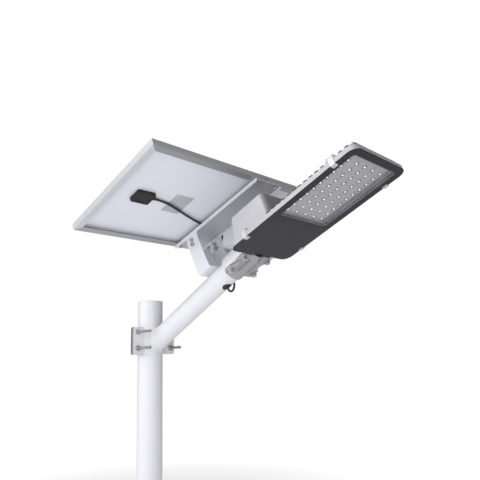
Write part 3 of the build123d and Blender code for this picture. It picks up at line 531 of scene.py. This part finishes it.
def cable_black():
    g = new_graph("cable_black")
    grain = g.noise(scale=1600.0)
    cloud = g.noise(scale=70.0, detail=4, rough=0.6)
    scuff = g.patches(low=0.60, high=0.75, scale=150.0, detail=5, rough=0.65)
    colour = g.mix(scuff, (0.012, 0.012, 0.013), (0.07, 0.068, 0.066), amount=0.3)
    rough = g.plus(g.remap(cloud, to=(0.34, 0.46)), scuff, share=0.2)
    return g.done(g.bsdf(colour, rough, g.bump(grain, depth=0.00004, strength=0.5)))


def seal_rubber():
    g = new_graph("seal_rubber")
    grain = g.noise(scale=900.0, detail=4, rough=0.6)
    cloud = g.noise(scale=90.0, detail=4, rough=0.6)
    colour = g.mix(g.remap(cloud, of=(0.35, 0.7)), (0.018, 0.018, 0.018), (0.04, 0.039, 0.038))
    normal = g.bump(grain, depth=0.00008, strength=0.6)
    return g.done(g.bsdf(colour, g.remap(cloud, to=(0.5, 0.66)), normal))


def cell_wrap():
    g = new_graph("cell_wrap")
    blue = (0.05, 0.20, 0.42)
    cloud = g.noise(scale=55.0, detail=4, rough=0.55)
    grain = g.noise(scale=900.0)
    colour = g.mix(g.remap(cloud), blue, shade(blue, 0.8))
    normal = g.bump(g.plus(cloud, grain, share=0.2), depth=0.0001, strength=0.5)
    return g.done(g.bsdf(colour, g.remap(cloud, to=(0.22, 0.35)), normal))


def strap_nylon():
    g = new_graph("strap_nylon")
    across, along = 5.2, 3.4    # weave, radians per mm
    u, v, n = g.local(LAMP, "uvn")
    weave = g.mul(g.math("SINE", g.mul(v, across)),
                  g.math("SINE", g.add(g.mul(u, along), g.mul(n, along))))
    colour = g.mix(g.remap(weave, of=(-1.0, 1.0)), (0.012, 0.012, 0.012), (0.05, 0.05, 0.05))
    normal = g.bump(weave, depth=0.0002, strength=0.7)
    return g.done(g.bsdf(colour, rough=0.8, normal=normal, Sheen_Weight=0.3))


# ------------------------------------------------------------ solar panel
def backsheet():
    """White film with a soft imprint of the cell grid."""
    g = new_graph("backsheet_white")
    u, v = g.local(PANEL, "uv")
    grid_start_u = 177.7

    def grid_line(distance):
        return g.math("SMOOTH_MIN", g.remap(distance, of=(0.0, 0.03)), 1.0, 0.1)

    grid = g.mul(grid_line(g.fold(g.sub(u, grid_start_u), CELL_PITCH_U, shift=0.0)),
                 grid_line(g.fold(v, CELL_PITCH_V, shift=0.5)))
    weave = g.noise(at=g.stretched(1500.0, 1500.0, 1500.0))
    ripple = g.noise(scale=11.0, rough=0.4)
    cloud = g.noise(scale=5.0, detail=4, rough=0.55)
    specks = g.ramp(g.voronoi(scale=150.0), (0.03, 1.0), (0.07, 0.0))
    colour = g.mix(g.remap(cloud), (0.86, 0.86, 0.915), (0.82, 0.82, 0.88))
    colour = g.mix(g.sub(1.0, grid), colour, (0.6, 0.6, 0.62), amount=0.05)
    colour = g.mix(specks, colour, (0.5, 0.5, 0.5), amount=0.10)
    rough = g.remap(cloud, to=(0.36, 0.50))
    height = g.plus(g.mul(ripple, 0.6), grid, share=0.12)
    normal = g.bump(height, depth=0.0006, strength=0.35)
    normal = g.bump(weave, depth=0.00003, strength=0.35, normal=normal)
    return g.done(g.bsdf(colour, rough, normal, Coat_Weight=0.15, Coat_Roughness=0.2))


def label_grey():
    """Label on the panel with a paler rim."""
    g = new_graph("label_grey")
    centre_u, centre_v = 172.0, -162.0
    half_u, half_v = 38.0, 29.0
    u, v = g.local(PANEL, "uv")
    from_u = g.absolute(g.sub(u, centre_u))
    from_v = g.absolute(g.sub(v, centre_v))
    reach = g.math("MAXIMUM", g.math("DIVIDE", from_u, half_u), g.math("DIVIDE", from_v, half_v))
    rim = g.mul(g.above(reach, limit=0.93), 0.5)
    fibre = g.noise(detail=3, rough=0.6, at=g.stretched(700.0, 2400.0, 700.0))
    cloud = g.noise(scale=40.0, detail=3)
    colour = g.mix(g.remap(cloud), (0.50, 0.505, 0.52), (0.565, 0.57, 0.585))
    colour = g.mix(rim, colour, (0.66, 0.665, 0.68))
    rough = g.remap(fibre, to=(0.30, 0.44))
    normal = g.bump(g.plus(fibre, rim, share=0.6), depth=0.00005, strength=0.4)
    return g.done(g.bsdf(colour, rough, normal, metal=0.35))


def silicon():
    """Dark blue cells, each its own shade, with fine pale fingers."""
    g = new_graph("silicon")
    finger_pitch = 1.9
    offset_u, offset_v = 0.0, 349.2     # shift of the cell numbering
    u, v = g.local(PANEL, "uv")
    finger = g.remap(g.fold(u, finger_pitch), of=(0.0, 0.07), to=(1.0, 0.0))
    cell_u = g.math("FLOOR", g.math("DIVIDE", g.add(u, offset_u), CELL_PITCH_U))
    cell_v = g.math("FLOOR", g.math("DIVIDE", g.add(v, offset_v), CELL_PITCH_V))
    tone = g.node("ShaderNodeTexWhiteNoise", props={"noise_dimensions": "3D"},
                  Vector=g.xyz(cell_u, cell_v, 3.0)).outputs["Value"]
    cloud = g.noise(scale=18.0, detail=4, rough=0.6)
    colour = g.mix(tone, (0.006, 0.014, 0.045), (0.011, 0.022, 0.062))
    colour = g.mix(g.remap(cloud, of=(0.35, 0.7)), colour, (0.014, 0.02, 0.075), amount=0.4)
    colour = g.mix(finger, colour, (0.35, 0.36, 0.38), amount=0.30)
    normal = g.bump(g.noise(scale=3000.0), depth=0.00002, strength=0.4)
    return g.done(g.bsdf(colour, rough=0.22, normal=normal, metal=0.1,
                         Coat_Weight=0.4, Coat_Roughness=0.06))


def thin_glass(name, tint, gloss, dust_amount, rough=0.03):
    """Glass pane or moulded optic seen as a coat of reflection over what lies behind."""
    g = new_graph(name)
    facing = g.node("ShaderNodeLayerWeight", Blend=0.5).outputs["Facing"]
    # Schlick's Fresnel term: 4 % seen square on, rising to 100 % at a grazing angle
    fresnel = g.add(g.mul(g.math("POWER", facing, 5.0), 0.96), 0.04)
    smear = g.noise(scale=26.0, detail=4, rough=0.6)
    dust = g.patches(low=0.60, high=0.72, scale=700.0, detail=3, rough=0.6)
    clear = g.shader("BsdfTransparent", Color=tint)
    reflection = g.shader("BsdfGlossy", Color=(1, 1, 1),
                          Roughness=g.remap(smear, to=(rough, rough + 0.06)),
                          Normal=g.bump(smear, depth=0.0002, strength=0.2))
    dusty = g.shader("BsdfDiffuse", Color=(0.75, 0.75, 0.74))
    pane = g.shader_mix(g.math("MULTIPLY", fresnel, gloss, clamp=True), clear, reflection)
    return g.done(g.shader_mix(g.mul(dust, dust_amount), pane, dusty))


# ------------------------------------------------------------ boards and LEDs
def board_white():
    """LED board: a ring round each package, copper tracks between them and painted shadow along the
    +v side.
    """
    g = new_graph("board_white")
    u, v = g.local(LAMP, "uv")
    fold_u = g.sub(g.fold(g.sub(u, LED_U), LED_PITCH_U, shift=0.0), 0.0)
    fold_v = g.fold(g.add(v, -LED_V), LED_PITCH_V)
    from_u, from_v = g.mul(fold_u, LED_PITCH_U), g.mul(fold_v, LED_PITCH_V)
    radius = g.hypot(from_u, from_v)
    ring = g.mul(g.above(radius, limit=6.6), g.below(radius, limit=7.0))
    track = g.mul(g.below(from_v, limit=1.3), g.above(radius, limit=7.6))
    grain = g.noise(scale=1700.0)
    cloud = g.noise(scale=22.0, detail=3)
    colour = g.mix(g.remap(cloud), (0.485, 0.472, 0.482), (0.53, 0.516, 0.526))
    colour = g.mix(track, colour, (0.5, 0.49, 0.44), amount=0.22)
    colour = g.mix(ring, colour, (0.22, 0.22, 0.23), amount=0.22)
    # painted shadow of the chamber's +v wall over the board's edge
    colour = g.mix(g.remap(v, of=(70.0, 80.0)), colour, (0.24, 0.236, 0.245))
    height = g.plus(g.mul(track, 0.8), grain, share=0.3)
    normal = g.bump(height, depth=0.00006, strength=0.6)
    return g.done(g.bsdf(colour, g.remap(cloud, to=(0.30, 0.42)), normal))


def led_phosphor():
    """LED faces with a white frame; their glow is painted light for the lens highlights."""
    g = new_graph("led_phosphor")
    grain = g.noise(scale=2600.0, detail=3, rough=0.6)
    u, v = g.local(LAMP, "uv")
    from_u = g.mul(g.fold(g.sub(u, LED_U), LED_PITCH_U), LED_PITCH_U)
    from_v = g.mul(g.fold(g.add(v, -LED_V), LED_PITCH_V), LED_PITCH_V)
    rim = g.above(g.math("MAXIMUM", from_u, from_v), limit=1.45)
    colour = g.mix(g.remap(grain), (0.97, 0.965, 0.93), (0.95, 0.94, 0.88))
    colour = g.mix(rim, colour, (0.92, 0.92, 0.92))
    normal = g.bump(grain, depth=0.00004, strength=0.5)
    # painted light: the emission stands in for the highlights in the lenses
    return g.done(g.bsdf(colour, rough=0.25, normal=normal,
                         Emission_Color=(1.0, 1.0, 1.0), Emission_Strength=1.1))


def circuit_green():
    g = new_graph("circuit_green")
    tracks_per_mm = 0.25
    u, v = g.local(LAMP, "uv")
    cells = g.voronoi(scale=260.0, at=g.xyz(g.mul(u, MM), g.mul(v, MM), 0.0))
    stripe = g.below(g.math("PINGPONG", g.mul(v, tracks_per_mm), 0.5), limit=0.12)
    track = g.mul(stripe, g.above(g.noise(scale=30.0, detail=1), limit=0.48))
    colour = g.mix(track, (0.012, 0.10, 0.04), (0.03, 0.20, 0.08), amount=0.6)
    dots = g.remap(cells, of=(0.05, 0.08), to=(0.5, 0.0))
    colour = g.mix(dots, colour, (0.6, 0.55, 0.4))
    normal = g.bump(track, depth=0.00005, strength=0.5)
    return g.done(g.bsdf(colour, rough=0.32, normal=normal))


# ------------------------------------------------------------ which piece gets which material
bolt_lo, bolt_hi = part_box("clamp_bolts")
BOLT_THREAD = (bolt_lo.x * 1000 + 30, bolt_hi.x * 1000 + 1)

WELD = weld_paint()
CABLE = cable_black()
RUBBER = seal_rubber()

FINISHES = [
    (white_paint("white_paint"), "pole_tube pole_cap arm_tube post_bracket post_bracket_web"),
    (white_paint("channel_paint", channel_underside_painted_shade), "panel_channel"),
    (white_paint("clamp_paint", grey_outer_faces), "clamp_front_half"),
    (zinc_clamp(), "clamp_rear_half"),
    (zinc_steel("zinc_steel"),
     "clamp_nuts clamp_washers channel_screws_and_nuts tilt_nuts tilt_washers slipfitter_bolts "
     "slipfitter_washers battery_box_screws board_screws clip_pins tilt_pivot_bolts "
     "tilt_lock_bolts"),
    (zinc_steel("zinc_steel_clamp", BOLT_THREAD), "clamp_bolts"),
    (frame_aluminium("frame_aluminium_side", along_y=False), "panel_rail_left panel_rail_right"),
    (frame_aluminium("frame_aluminium_long"), "panel_corner_keys"),
    (frame_aluminium("frame_aluminium_low", shaded_side=(-PANEL.u - PANEL.n).normalized()),
     "panel_rail_low"),
    (frame_aluminium("frame_aluminium_high", shaded_side=-PANEL.n), "panel_rail_high"),
    (backsheet(), "panel_backsheet"),
    (black_plastic("black_plastic", base=(0.006, 0.006, 0.007)),
     "junction_box_base junction_box_lid junction_box_gland"),
    (CABLE, "panel_cable feed_cable lamp_wires"),
    (label_grey(), "panel_label"),
    (cast_silver("lamp_silver", (0.55, 0.55, 0.565), metal=0.25, tone_and_painted_shade=housing_painted_light_and_shade),
     "lamp_housing"),
    (cast_silver("box_silver", (0.62, 0.62, 0.635), metal=0.05, tone_and_painted_shade=box_end_painted_shade),
     "battery_box"),
    (cast_silver("slipfitter_grey", (0.42, 0.42, 0.435), metal=0.3), "slipfitter_cap"),
    (cover_black(), "lamp_cover"),
    (RUBBER, "cover_gasket arm_grommet"),
    (thin_glass("window_clear", tint=(0.955, 0.955, 0.96), gloss=1.0, dust_amount=0.05),
     "window_glass"),
    (thin_glass("solar_glass", tint=(0.96, 0.975, 0.985), gloss=0.45, dust_amount=0.05),
     "panel_glass"),
    (thin_glass("lens_clear", tint=(0.975, 0.975, 0.98), gloss=1.6, dust_amount=0.0, rough=0.30),
     "led_lenses"),
    (chamber_grey("chamber_grey"), "light_chamber_rim"),
    (chamber_grey("bezel_grey", dim=0.5), "window_bezel"),
    (board_white(), "led_board"),
    (led_phosphor(), "led_packages"),
    (silicon(), "solar_cells"),
    (brushed("ribbon", (0.78, 0.78, 0.80), stretch=(900.0, 20.0, 900.0), rough=(0.25, 0.4)),
     "cell_ribbons"),
    (cell_wrap(), "battery_cells"),
    (brushed("tray_aluminium", (0.66, 0.67, 0.68), stretch=(40.0, 40.0, 1800.0)), "battery_tray"),
    (strap_nylon(), "battery_straps"),
    (circuit_green(), "controller_board"),
    (black_plastic("component_black", base=(0.03, 0.03, 0.032)), "controller_parts"),
    (brushed("brass", (0.62, 0.47, 0.20), stretch=(700.0, 700.0, 700.0), metal=0.95,
             rough=(0.2, 0.32)), "board_standoffs"),
    (brushed("spring_steel", (0.74, 0.74, 0.75), stretch=(60.0, 60.0, 1500.0), metal=0.55,
             rough=(0.26, 0.40)), "clip_near_left clip_near_right clip_far_left clip_far_right"),
    (WELD, "weld_beads"),
]
for material, names in FINISHES:
    for name in names.split():
        slots = NODES[name].data.materials
        slots.clear()
        slots.append(material)
finished = sorted(name for _, names in FINISHES for name in names.split())
assert finished == sorted(NODES), "a node has no material"


# ------------------------------------------------------------ mesh helpers
def new_mesh(name, points, faces, material):
    """A smooth-shaded object with its normals turned outwards."""
    mesh = bpy.data.meshes.new(name)
    mesh.from_pydata([tuple(p) for p in points], [], faces)
    mesh.update()
    item = bpy.data.objects.new(name, mesh)
    SCENE.collection.objects.link(item)
    mesh.materials.append(material)
    mesh.polygons.foreach_set("use_smooth", [True] * len(mesh.polygons))
    bm = bmesh.new()
    bm.from_mesh(mesh)
    bmesh.ops.recalc_face_normals(bm, faces=bm.faces)
    bm.to_mesh(mesh)
    bm.free()
    return item


def loft(sections, closed):
    """Closed outlines of equal length joined in a row; capped at the ends unless closed."""
    points = [p for section in sections for p in section]
    size, count = len(sections[0]), len(sections)
    faces = []
    for i in range(count if closed else count - 1):
        here, there = i * size, (i + 1) % count * size
        for j in range(size):
            k = (j + 1) % size
            faces.append((here + j, here + k, there + k, there + j))
    if not closed:
        faces.append(tuple(range(size))[::-1])
        faces.append(tuple((count - 1) * size + j for j in range(size)))
    return points, faces


def smooth_line(points, step):
    """Centripetal Catmull-Rom line through the points, cut about every step metres."""
    points = [np.array(p, float) for p in points]
    points = [2 * points[0] - points[1]] + points + [2 * points[-1] - points[-2]]
    line = []
    for i in range(1, len(points) - 2):
        p0, p1, p2, p3 = points[i - 1:i + 3]
        d1 = max(np.linalg.norm(p1 - p0) ** 0.5, 1e-6)
        d2 = max(np.linalg.norm(p2 - p1) ** 0.5, 1e-6)
        d3 = max(np.linalg.norm(p3 - p2) ** 0.5, 1e-6)
        slope1 = ((p1 - p0) / d1 - (p2 - p0) / (d1 + d2) + (p2 - p1) / d2) * d2
        slope2 = ((p2 - p1) / d2 - (p3 - p1) / (d2 + d3) + (p3 - p2) / d3) * d2
        pieces = max(2, int(np.linalg.norm(p2 - p1) / step))
        for j in range(pieces):
            t = j / pieces
            line.append((2 * t**3 - 3 * t**2 + 1) * p1 + (t**3 - 2 * t**2 + t) * slope1
                        + (-2 * t**3 + 3 * t**2) * p2 + (t**3 - t**2) * slope2)
    line.append(points[-2])
    return np.array(line)


def round_sections(path, radius, segments):
    """Circles square to the path, carried along it without twist."""
    tangents = np.gradient(path, axis=0)
    tangents /= np.linalg.norm(tangents, axis=1)[:, None]
    side = np.cross(tangents[0], (0.3, 0.2, 0.93))
    side /= np.linalg.norm(side)
    sections = []
    for centre, tangent in zip(path, tangents):
        side = side - tangent * (side @ tangent)
        side /= np.linalg.norm(side)
        up = np.cross(tangent, side)
        angles = [2 * math.pi * k / segments for k in range(segments)]
        sections.append([centre + (side * math.cos(a) + up * math.sin(a)) * radius
                         for a in angles])
    return sections


# ------------------------------------------------------------ arm and bracket, measured, mm
ARM_RADIUS = float(np.abs(vertices("arm_tube")[:, 1]).max()) * 1000
# the arm tube's inner end lies on the clamp band, a cylinder about Z
BAND_RADIUS = float(np.hypot(vertices("arm_tube")[:, 0], vertices("arm_tube")[:, 1]).min()) * 1000
bracket_u = ARM.measure("post_bracket", ARM.u)
BRACKET_START, BRACKET_END = float(bracket_u.min()), float(bracket_u.max())
BRACKET_BASE = float(ARM.measure("post_bracket", ARM.n).min())
grommet_u = ARM.measure("arm_grommet", ARM.u)
GROMMET_RADIUS = float(grommet_u.max() - grommet_u.min()) / 2
GROMMET_U = 381.0


def arm_top(v):
    """n of the arm's surface on its +n side."""
    return math.sqrt(ARM_RADIUS ** 2 - v * v)


# ------------------------------------------------------------ cable: junction box to arm
CABLE_RADIUS = 0.00298
CABLE_SEGMENTS = 22
CABLE_STEP = 0.0025
CABLE_AT_PIVOT_Y = 62.0

# u, v, n in the panel frame, from the junction box towards the pivot
CABLE_ON_PANEL = [
    (176, -246, 7.6), (176, -240, 7.6), (175.4, -226, 7.6), (171, -198, 7.4),
    (160, -163, 7.2), (146.5, -125, 7.0), (132, -82, 6.6), (121, -42, 5.6),
    (112, 0, 5.2), (104, 40, 5.2), (95, 60.5, -1.5), (84, 64, -12.0),
]
from_arm = TILT_PIVOT - ARM.origin
pivot_u, pivot_n = from_arm.dot(ARM.u) * 1000, from_arm.dot(ARM.n) * 1000
# u, v, n in the arm frame, from the pivot down round the arm and up into the grommet
CABLE_ON_ARM = [
    (pivot_u + 1, 60, pivot_n - 28), (pivot_u + 2.5, 56, pivot_n - 60),
    (pivot_u + 4.5, 51.5, 46), (pivot_u + 7, 46, 20), (pivot_u + 9.5, 40.5, 3),
    (pivot_u + 11.5, 37, -12), (pivot_u + 13, 29.5, -25.5),
    (GROMMET_U - 0.3, 19.5, -37.0), (GROMMET_U, 9.5, -43.5), (GROMMET_U, 2.6, -42.5),
    (GROMMET_U, 0, -34.5), (GROMMET_U, 0, -22),
]


def build_cable():
    on_panel = [PANEL.point(*p) for p in CABLE_ON_PANEL]
    on_arm = [ARM.point(*p) for p in CABLE_ON_ARM]
    at_pivot = TILT_PIVOT + WORLD_Y * CABLE_AT_PIVOT_Y * MM
    path = smooth_line(on_panel + [at_pivot] + on_arm, CABLE_STEP)
    sections = round_sections(path, CABLE_RADIUS, CABLE_SEGMENTS)
    cable = new_mesh("solar_cable", *loft(sections, closed=False), CABLE)
    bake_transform(cable)
    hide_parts("panel_cable", "feed_cable")


build_cable()


# ------------------------------------------------------------ weld beads: concave and rippled
def concave(start, control, end, steps=7):
    """Quadratic curve for the face of a bead."""
    return [start * (1 - t) ** 2 + control * (2 * t * (1 - t)) + end * t ** 2
            for t in (i / steps for i in range(steps + 1))]


def band_u(v, n):
    """u at which the line (v, n) along the arm meets the clamp band."""
    x = math.sqrt(max(BAND_RADIUS ** 2 - v * v, 1.0))
    return (x - ARM.origin.x * 1000 - n * ARM.n.x) / ARM.u.x


def arm_foot_bead():
    """Bead round the arm where it meets the clamp band."""
    stations, ripples = 220, 46
    leg = 6.5               # reach of the bead along the arm and over the band
    narrowest = 0.6
    narrowing = 0.3         # step of the search for a leg that stays on the band
    buried = 1.4            # root of the bead inside the metal
    hollow = 0.10           # pull of the curve towards the legs
    band_margin = 0.0004    # metres
    band_lo, band_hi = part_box("clamp_front_half")
    sections = []
    for i in range(stations):
        angle = 2 * math.pi * i / stations
        sine, cosine = math.sin(angle), math.cos(angle)

        def on_band(radius, along=0.0):
            v, n = radius * sine, radius * cosine
            return ARM.point(band_u(v, n) + along, v, n)

        ripple = 0.5 + 0.5 * math.cos(angle * ripples + 0.8 * math.sin(angle * 5))
        corner = on_band(ARM_RADIUS)
        on_arm = on_band(ARM_RADIUS, along=leg + 0.5 * ripple)
        width = leg + 0.4 * ripple
        while width > narrowest:
            over_band = on_band(ARM_RADIUS + width)
            if band_lo.z + band_margin < over_band.z < band_hi.z - band_margin:
                break
            width -= narrowing
        leg_a, leg_b = on_arm - corner, over_band - corner
        swell = (leg_a.normalized() + leg_b.normalized()) * ripple * 0.00035
        control = corner + leg_a * hollow + leg_b * hollow + swell
        root = on_band(ARM_RADIUS - buried, along=-buried)
        sections.append(concave(on_arm, control, over_band) + [root])
    return loft(sections, closed=True)


def bracket_side_bead(side):
    """Bead along one Y side of the bracket's base; side is -1 or 1."""
    pieces = 60
    inset = 1.5                         # from each end of the bracket
    toe_arm, toe_base = 14.0, 13.2      # how far out the bead reaches
    waist, root = 10.6, 7.0
    sections = []
    for i in range(pieces + 1):
        u = BRACKET_START + inset + (BRACKET_END - BRACKET_START - 2 * inset) * i / pieces
        ripple = 0.5 + 0.5 * math.cos(i * 1.35)
        v_arm = toe_arm + 0.5 * ripple
        on_arm = ARM.point(u, side * v_arm, arm_top(v_arm))
        on_base = ARM.point(u, side * (toe_base + 0.5 * ripple), BRACKET_BASE + 0.05)
        control = ARM.point(u + 0.3 * ripple, side * (waist + 0.6 * ripple), BRACKET_BASE - 1.1)
        sections.append(concave(on_arm, control, on_base) + [
            ARM.point(u, side * root, BRACKET_BASE + 0.3),
            ARM.point(u, side * root, arm_top(root) - 0.8)])
    return loft(sections, closed=False)


def bracket_end_bead(u, outward):
    """Bead across one end of the bracket's base; outward is -1 or 1 along u."""
    pieces = 48
    half_width = 14.0
    reach, rise = 4.3, 1.9      # along the arm and up the bracket
    sections = []
    for i in range(pieces + 1):
        v = -half_width + 2 * half_width * i / pieces
        ripple = 0.5 + 0.5 * math.cos(i * 1.6)
        lift = 1.0 - 0.25 * (v / half_width) ** 2
        on_arm = ARM.point(u + outward * (reach * lift + 0.4 * ripple), v, arm_top(v) + 0.02)
        on_bracket = ARM.point(u, v, BRACKET_BASE + rise * lift)
        control = ARM.point(u + outward * (0.9 + 0.5 * ripple), v,
                            BRACKET_BASE + 0.2 - (BRACKET_BASE - arm_top(v)) * 0.6)
        sections.append(concave(on_arm, control, on_bracket) + [
            ARM.point(u - outward * 1.5, v, BRACKET_BASE + 0.6),
            ARM.point(u - outward * 1.2, v, arm_top(v) - 1.0)])
    return loft(sections, closed=False)


def build_welds():
    points, faces = [], []
    for bead_points, bead_faces in (
            arm_foot_bead(),
            bracket_side_bead(-1),
            bracket_side_bead(1),
            bracket_end_bead(BRACKET_START, -1),
            bracket_end_bead(BRACKET_END, 1)):
        first = len(points)
        points += bead_points
        faces += [tuple(i + first for i in face) for face in bead_faces]
    beads = new_mesh("weld_runs", points, faces, WELD)
    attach(beads, "arm")
    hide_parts("weld_beads")


build_welds()

# ------------------------------------------------------------ rubber grommet
GROMMET_SEGMENTS = 72
# closed outline, two lips either side of the arm's wall:
# radius about the hole, depth inwards from the arm's outer surface
GROMMET_OUTLINE = [
    (3.25, -0.5), (3.5, -1.7), (4.6, -2.35), (6.6, -2.3), (8.6, -2.0), (10.6, -1.75),
    (12.2, -1.6), (13.2, -1.2), (GROMMET_RADIUS - 0.05, -0.55), (GROMMET_RADIUS - 0.3, 0.05),
    (12.6, 0.05), (10.4, 0.05), (9.75, 0.6), (9.75, 2.6), (9.9, 3.2), (10.4, 3.6),
    (10.3, 4.3), (9.2, 4.75), (6.4, 4.8), (4.3, 4.6), (3.4, 3.8), (3.2, 1.6),
]


def build_grommet():
    rings = []
    for radius, depth in GROMMET_OUTLINE:
        ring = []
        for k in range(GROMMET_SEGMENTS):
            angle = 2 * math.pi * k / GROMMET_SEGMENTS
            v = radius * math.sin(angle)
            # the lips follow the round of the tube on its -n side
            ring.append(ARM.point(GROMMET_U + radius * math.cos(angle), v, -arm_top(v) + depth))
        rings.append(ring)
    grommet = new_mesh("cable_grommet", *loft(rings, closed=True), RUBBER)
    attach(grommet, "arm")
    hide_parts("arm_grommet")


build_grommet()

# ------------------------------------------------------------ camera
CAMERA_PLACE = (1.36051, -0.97757, 0.41741)
CAMERA_AZIMUTH = math.radians(44.30)    # from +Y towards -X
CAMERA_ELEVATION = math.radians(13.04)  # looking up
CAMERA_ROLL = math.radians(-1.93)
CAMERA_LENS = 38.937                    # mm, on a sensor 36 mm wide


def build_camera():
    level = math.cos(CAMERA_ELEVATION)
    forward = Vector((-math.sin(CAMERA_AZIMUTH) * level, math.cos(CAMERA_AZIMUTH) * level,
                      math.sin(CAMERA_ELEVATION)))
    right = Vector((math.cos(CAMERA_AZIMUTH), math.sin(CAMERA_AZIMUTH), 0))
    up = right.cross(forward)
    rolled_right = right * math.cos(CAMERA_ROLL) + up * math.sin(CAMERA_ROLL)
    rolled_up = up * math.cos(CAMERA_ROLL) - right * math.sin(CAMERA_ROLL)
    camera = bpy.data.objects.new("camera", bpy.data.cameras.new("camera"))
    SCENE.collection.objects.link(camera)
    camera.data.sensor_width = 36.0
    camera.data.lens = CAMERA_LENS
    camera.data.clip_start, camera.data.clip_end = 0.05, 100.0
    pose = Matrix((rolled_right, rolled_up, -forward)).transposed().to_4x4()
    pose.translation = Vector(CAMERA_PLACE)
    camera.matrix_world = pose
    SCENE.camera = camera


build_camera()


# ------------------------------------------------------------ world and key light
def build_world():
    """White to the camera; as light, a soft gradient brightest towards -Y."""
    world = bpy.data.worlds.new("studio")
    SCENE.world = world
    g = Graph(world, "ShaderNodeOutputWorld")
    bright_side = Vector((0.30, -0.95, -0.08)).normalized()
    toward = g.dot(g.node("ShaderNodeTexCoord").outputs["Generated"], bright_side)
    strength = g.remap(toward, of=(-0.30, 0.92), to=(0.10, 1.56),
                       interpolation_type="SMOOTHERSTEP")
    light = g.shader("Background", Color=(0.975, 0.975, 1.0), Strength=strength)
    backdrop = g.shader("Background", Color=(1, 1, 1), Strength=1.0)
    seen = g.node("ShaderNodeLightPath").outputs["Is Camera Ray"]
    g.done(g.shader_mix(seen, light, backdrop))


def build_key_light():
    place, target = Vector((-0.5, -3.0, 1.5)), Vector((0.3, 0, 0.7))
    data = bpy.data.lights.new("key", "AREA")
    data.shape = "SQUARE"
    data.size = 1.6
    data.energy = 9.0
    key = bpy.data.objects.new("key", data)
    SCENE.collection.objects.link(key)
    key.location = place
    key.rotation_mode = "QUATERNION"
    key.rotation_quaternion = (target - place).to_track_quat("-Z", "Y")


build_world()
build_key_light()


# ------------------------------------------------------------ floor
def floor_material():
    """Pale floor that fades to plain white away from the pole and is clear from below."""
    g = new_graph("studio_floor")
    from_pole = g.vector_math("LENGTH", g.position, result="Value")
    fade = g.remap(from_pole, of=(0.05, 0.75), to=(0.45, 1.0))
    cloud = g.noise(scale=3.0, detail=3)
    grain = g.bump(g.noise(scale=300.0, detail=3), depth=0.0001, strength=0.3)
    surface = g.bsdf(g.mix(cloud, (0.86, 0.86, 0.87), (0.90, 0.90, 0.90)),
                     g.remap(cloud, to=(0.55, 0.7)), grain)
    seen = g.node("ShaderNodeLightPath").outputs["Is Camera Ray"]
    # as light, the glow grows towards -Y
    glow_centre, glow_direction = (0.35, 0.0, 0.0), (0.38, -0.92, 0.0)
    toward = g.dot(g.vector_math("SUBTRACT", g.position, glow_centre), glow_direction)
    glow = g.mul(g.sub(1.0, seen), g.remap(toward, of=(-1.6, 1.4), to=(0.45, 1.12)))
    emission = g.shader("Emission", Color=g.mix(seen, (0.965, 0.965, 1.0), (1.0, 1.0, 1.0)),
                        Strength=g.math("MAXIMUM", seen, glow))
    incoming = g.node("ShaderNodeNewGeometry").outputs["Incoming"]
    from_below = g.below(g.separate(incoming)[2], limit=0.0)
    top = g.shader_mix(g.math("MAXIMUM", fade, g.sub(1.0, seen)), surface, emission)
    return g.done(g.shader_mix(from_below, top, g.shader("BsdfTransparent")))


def build_floor():
    segments = 96
    radii = [0.4, 0.9, 2.0, 6.0, 14.0]
    gap = 0.0004    # below the lowest piece
    points = [(0, 0, 0)]
    for radius in radii:
        for k in range(segments):
            angle = 2 * math.pi * k / segments
            points.append((radius * math.cos(angle), radius * math.sin(angle), 0))
    faces = [(0, 1 + k, 1 + (k + 1) % segments) for k in range(segments)]
    for i in range(len(radii) - 1):
        for k in range(segments):
            a = 1 + i * segments + k
            b = 1 + i * segments + (k + 1) % segments
            faces.append((a, a + segments, b + segments, b))
    floor = new_mesh("studio_floor", points, faces, floor_material())
    floor.location = (0, 0, CAD_LO.z - gap)


build_floor()

# ------------------------------------------------------------ output
SCENE.view_settings.view_transform = "Standard"
SCENE.view_settings.look = "None"
SCENE.view_settings.exposure = 0.0
SCENE.view_settings.gamma = 1.0
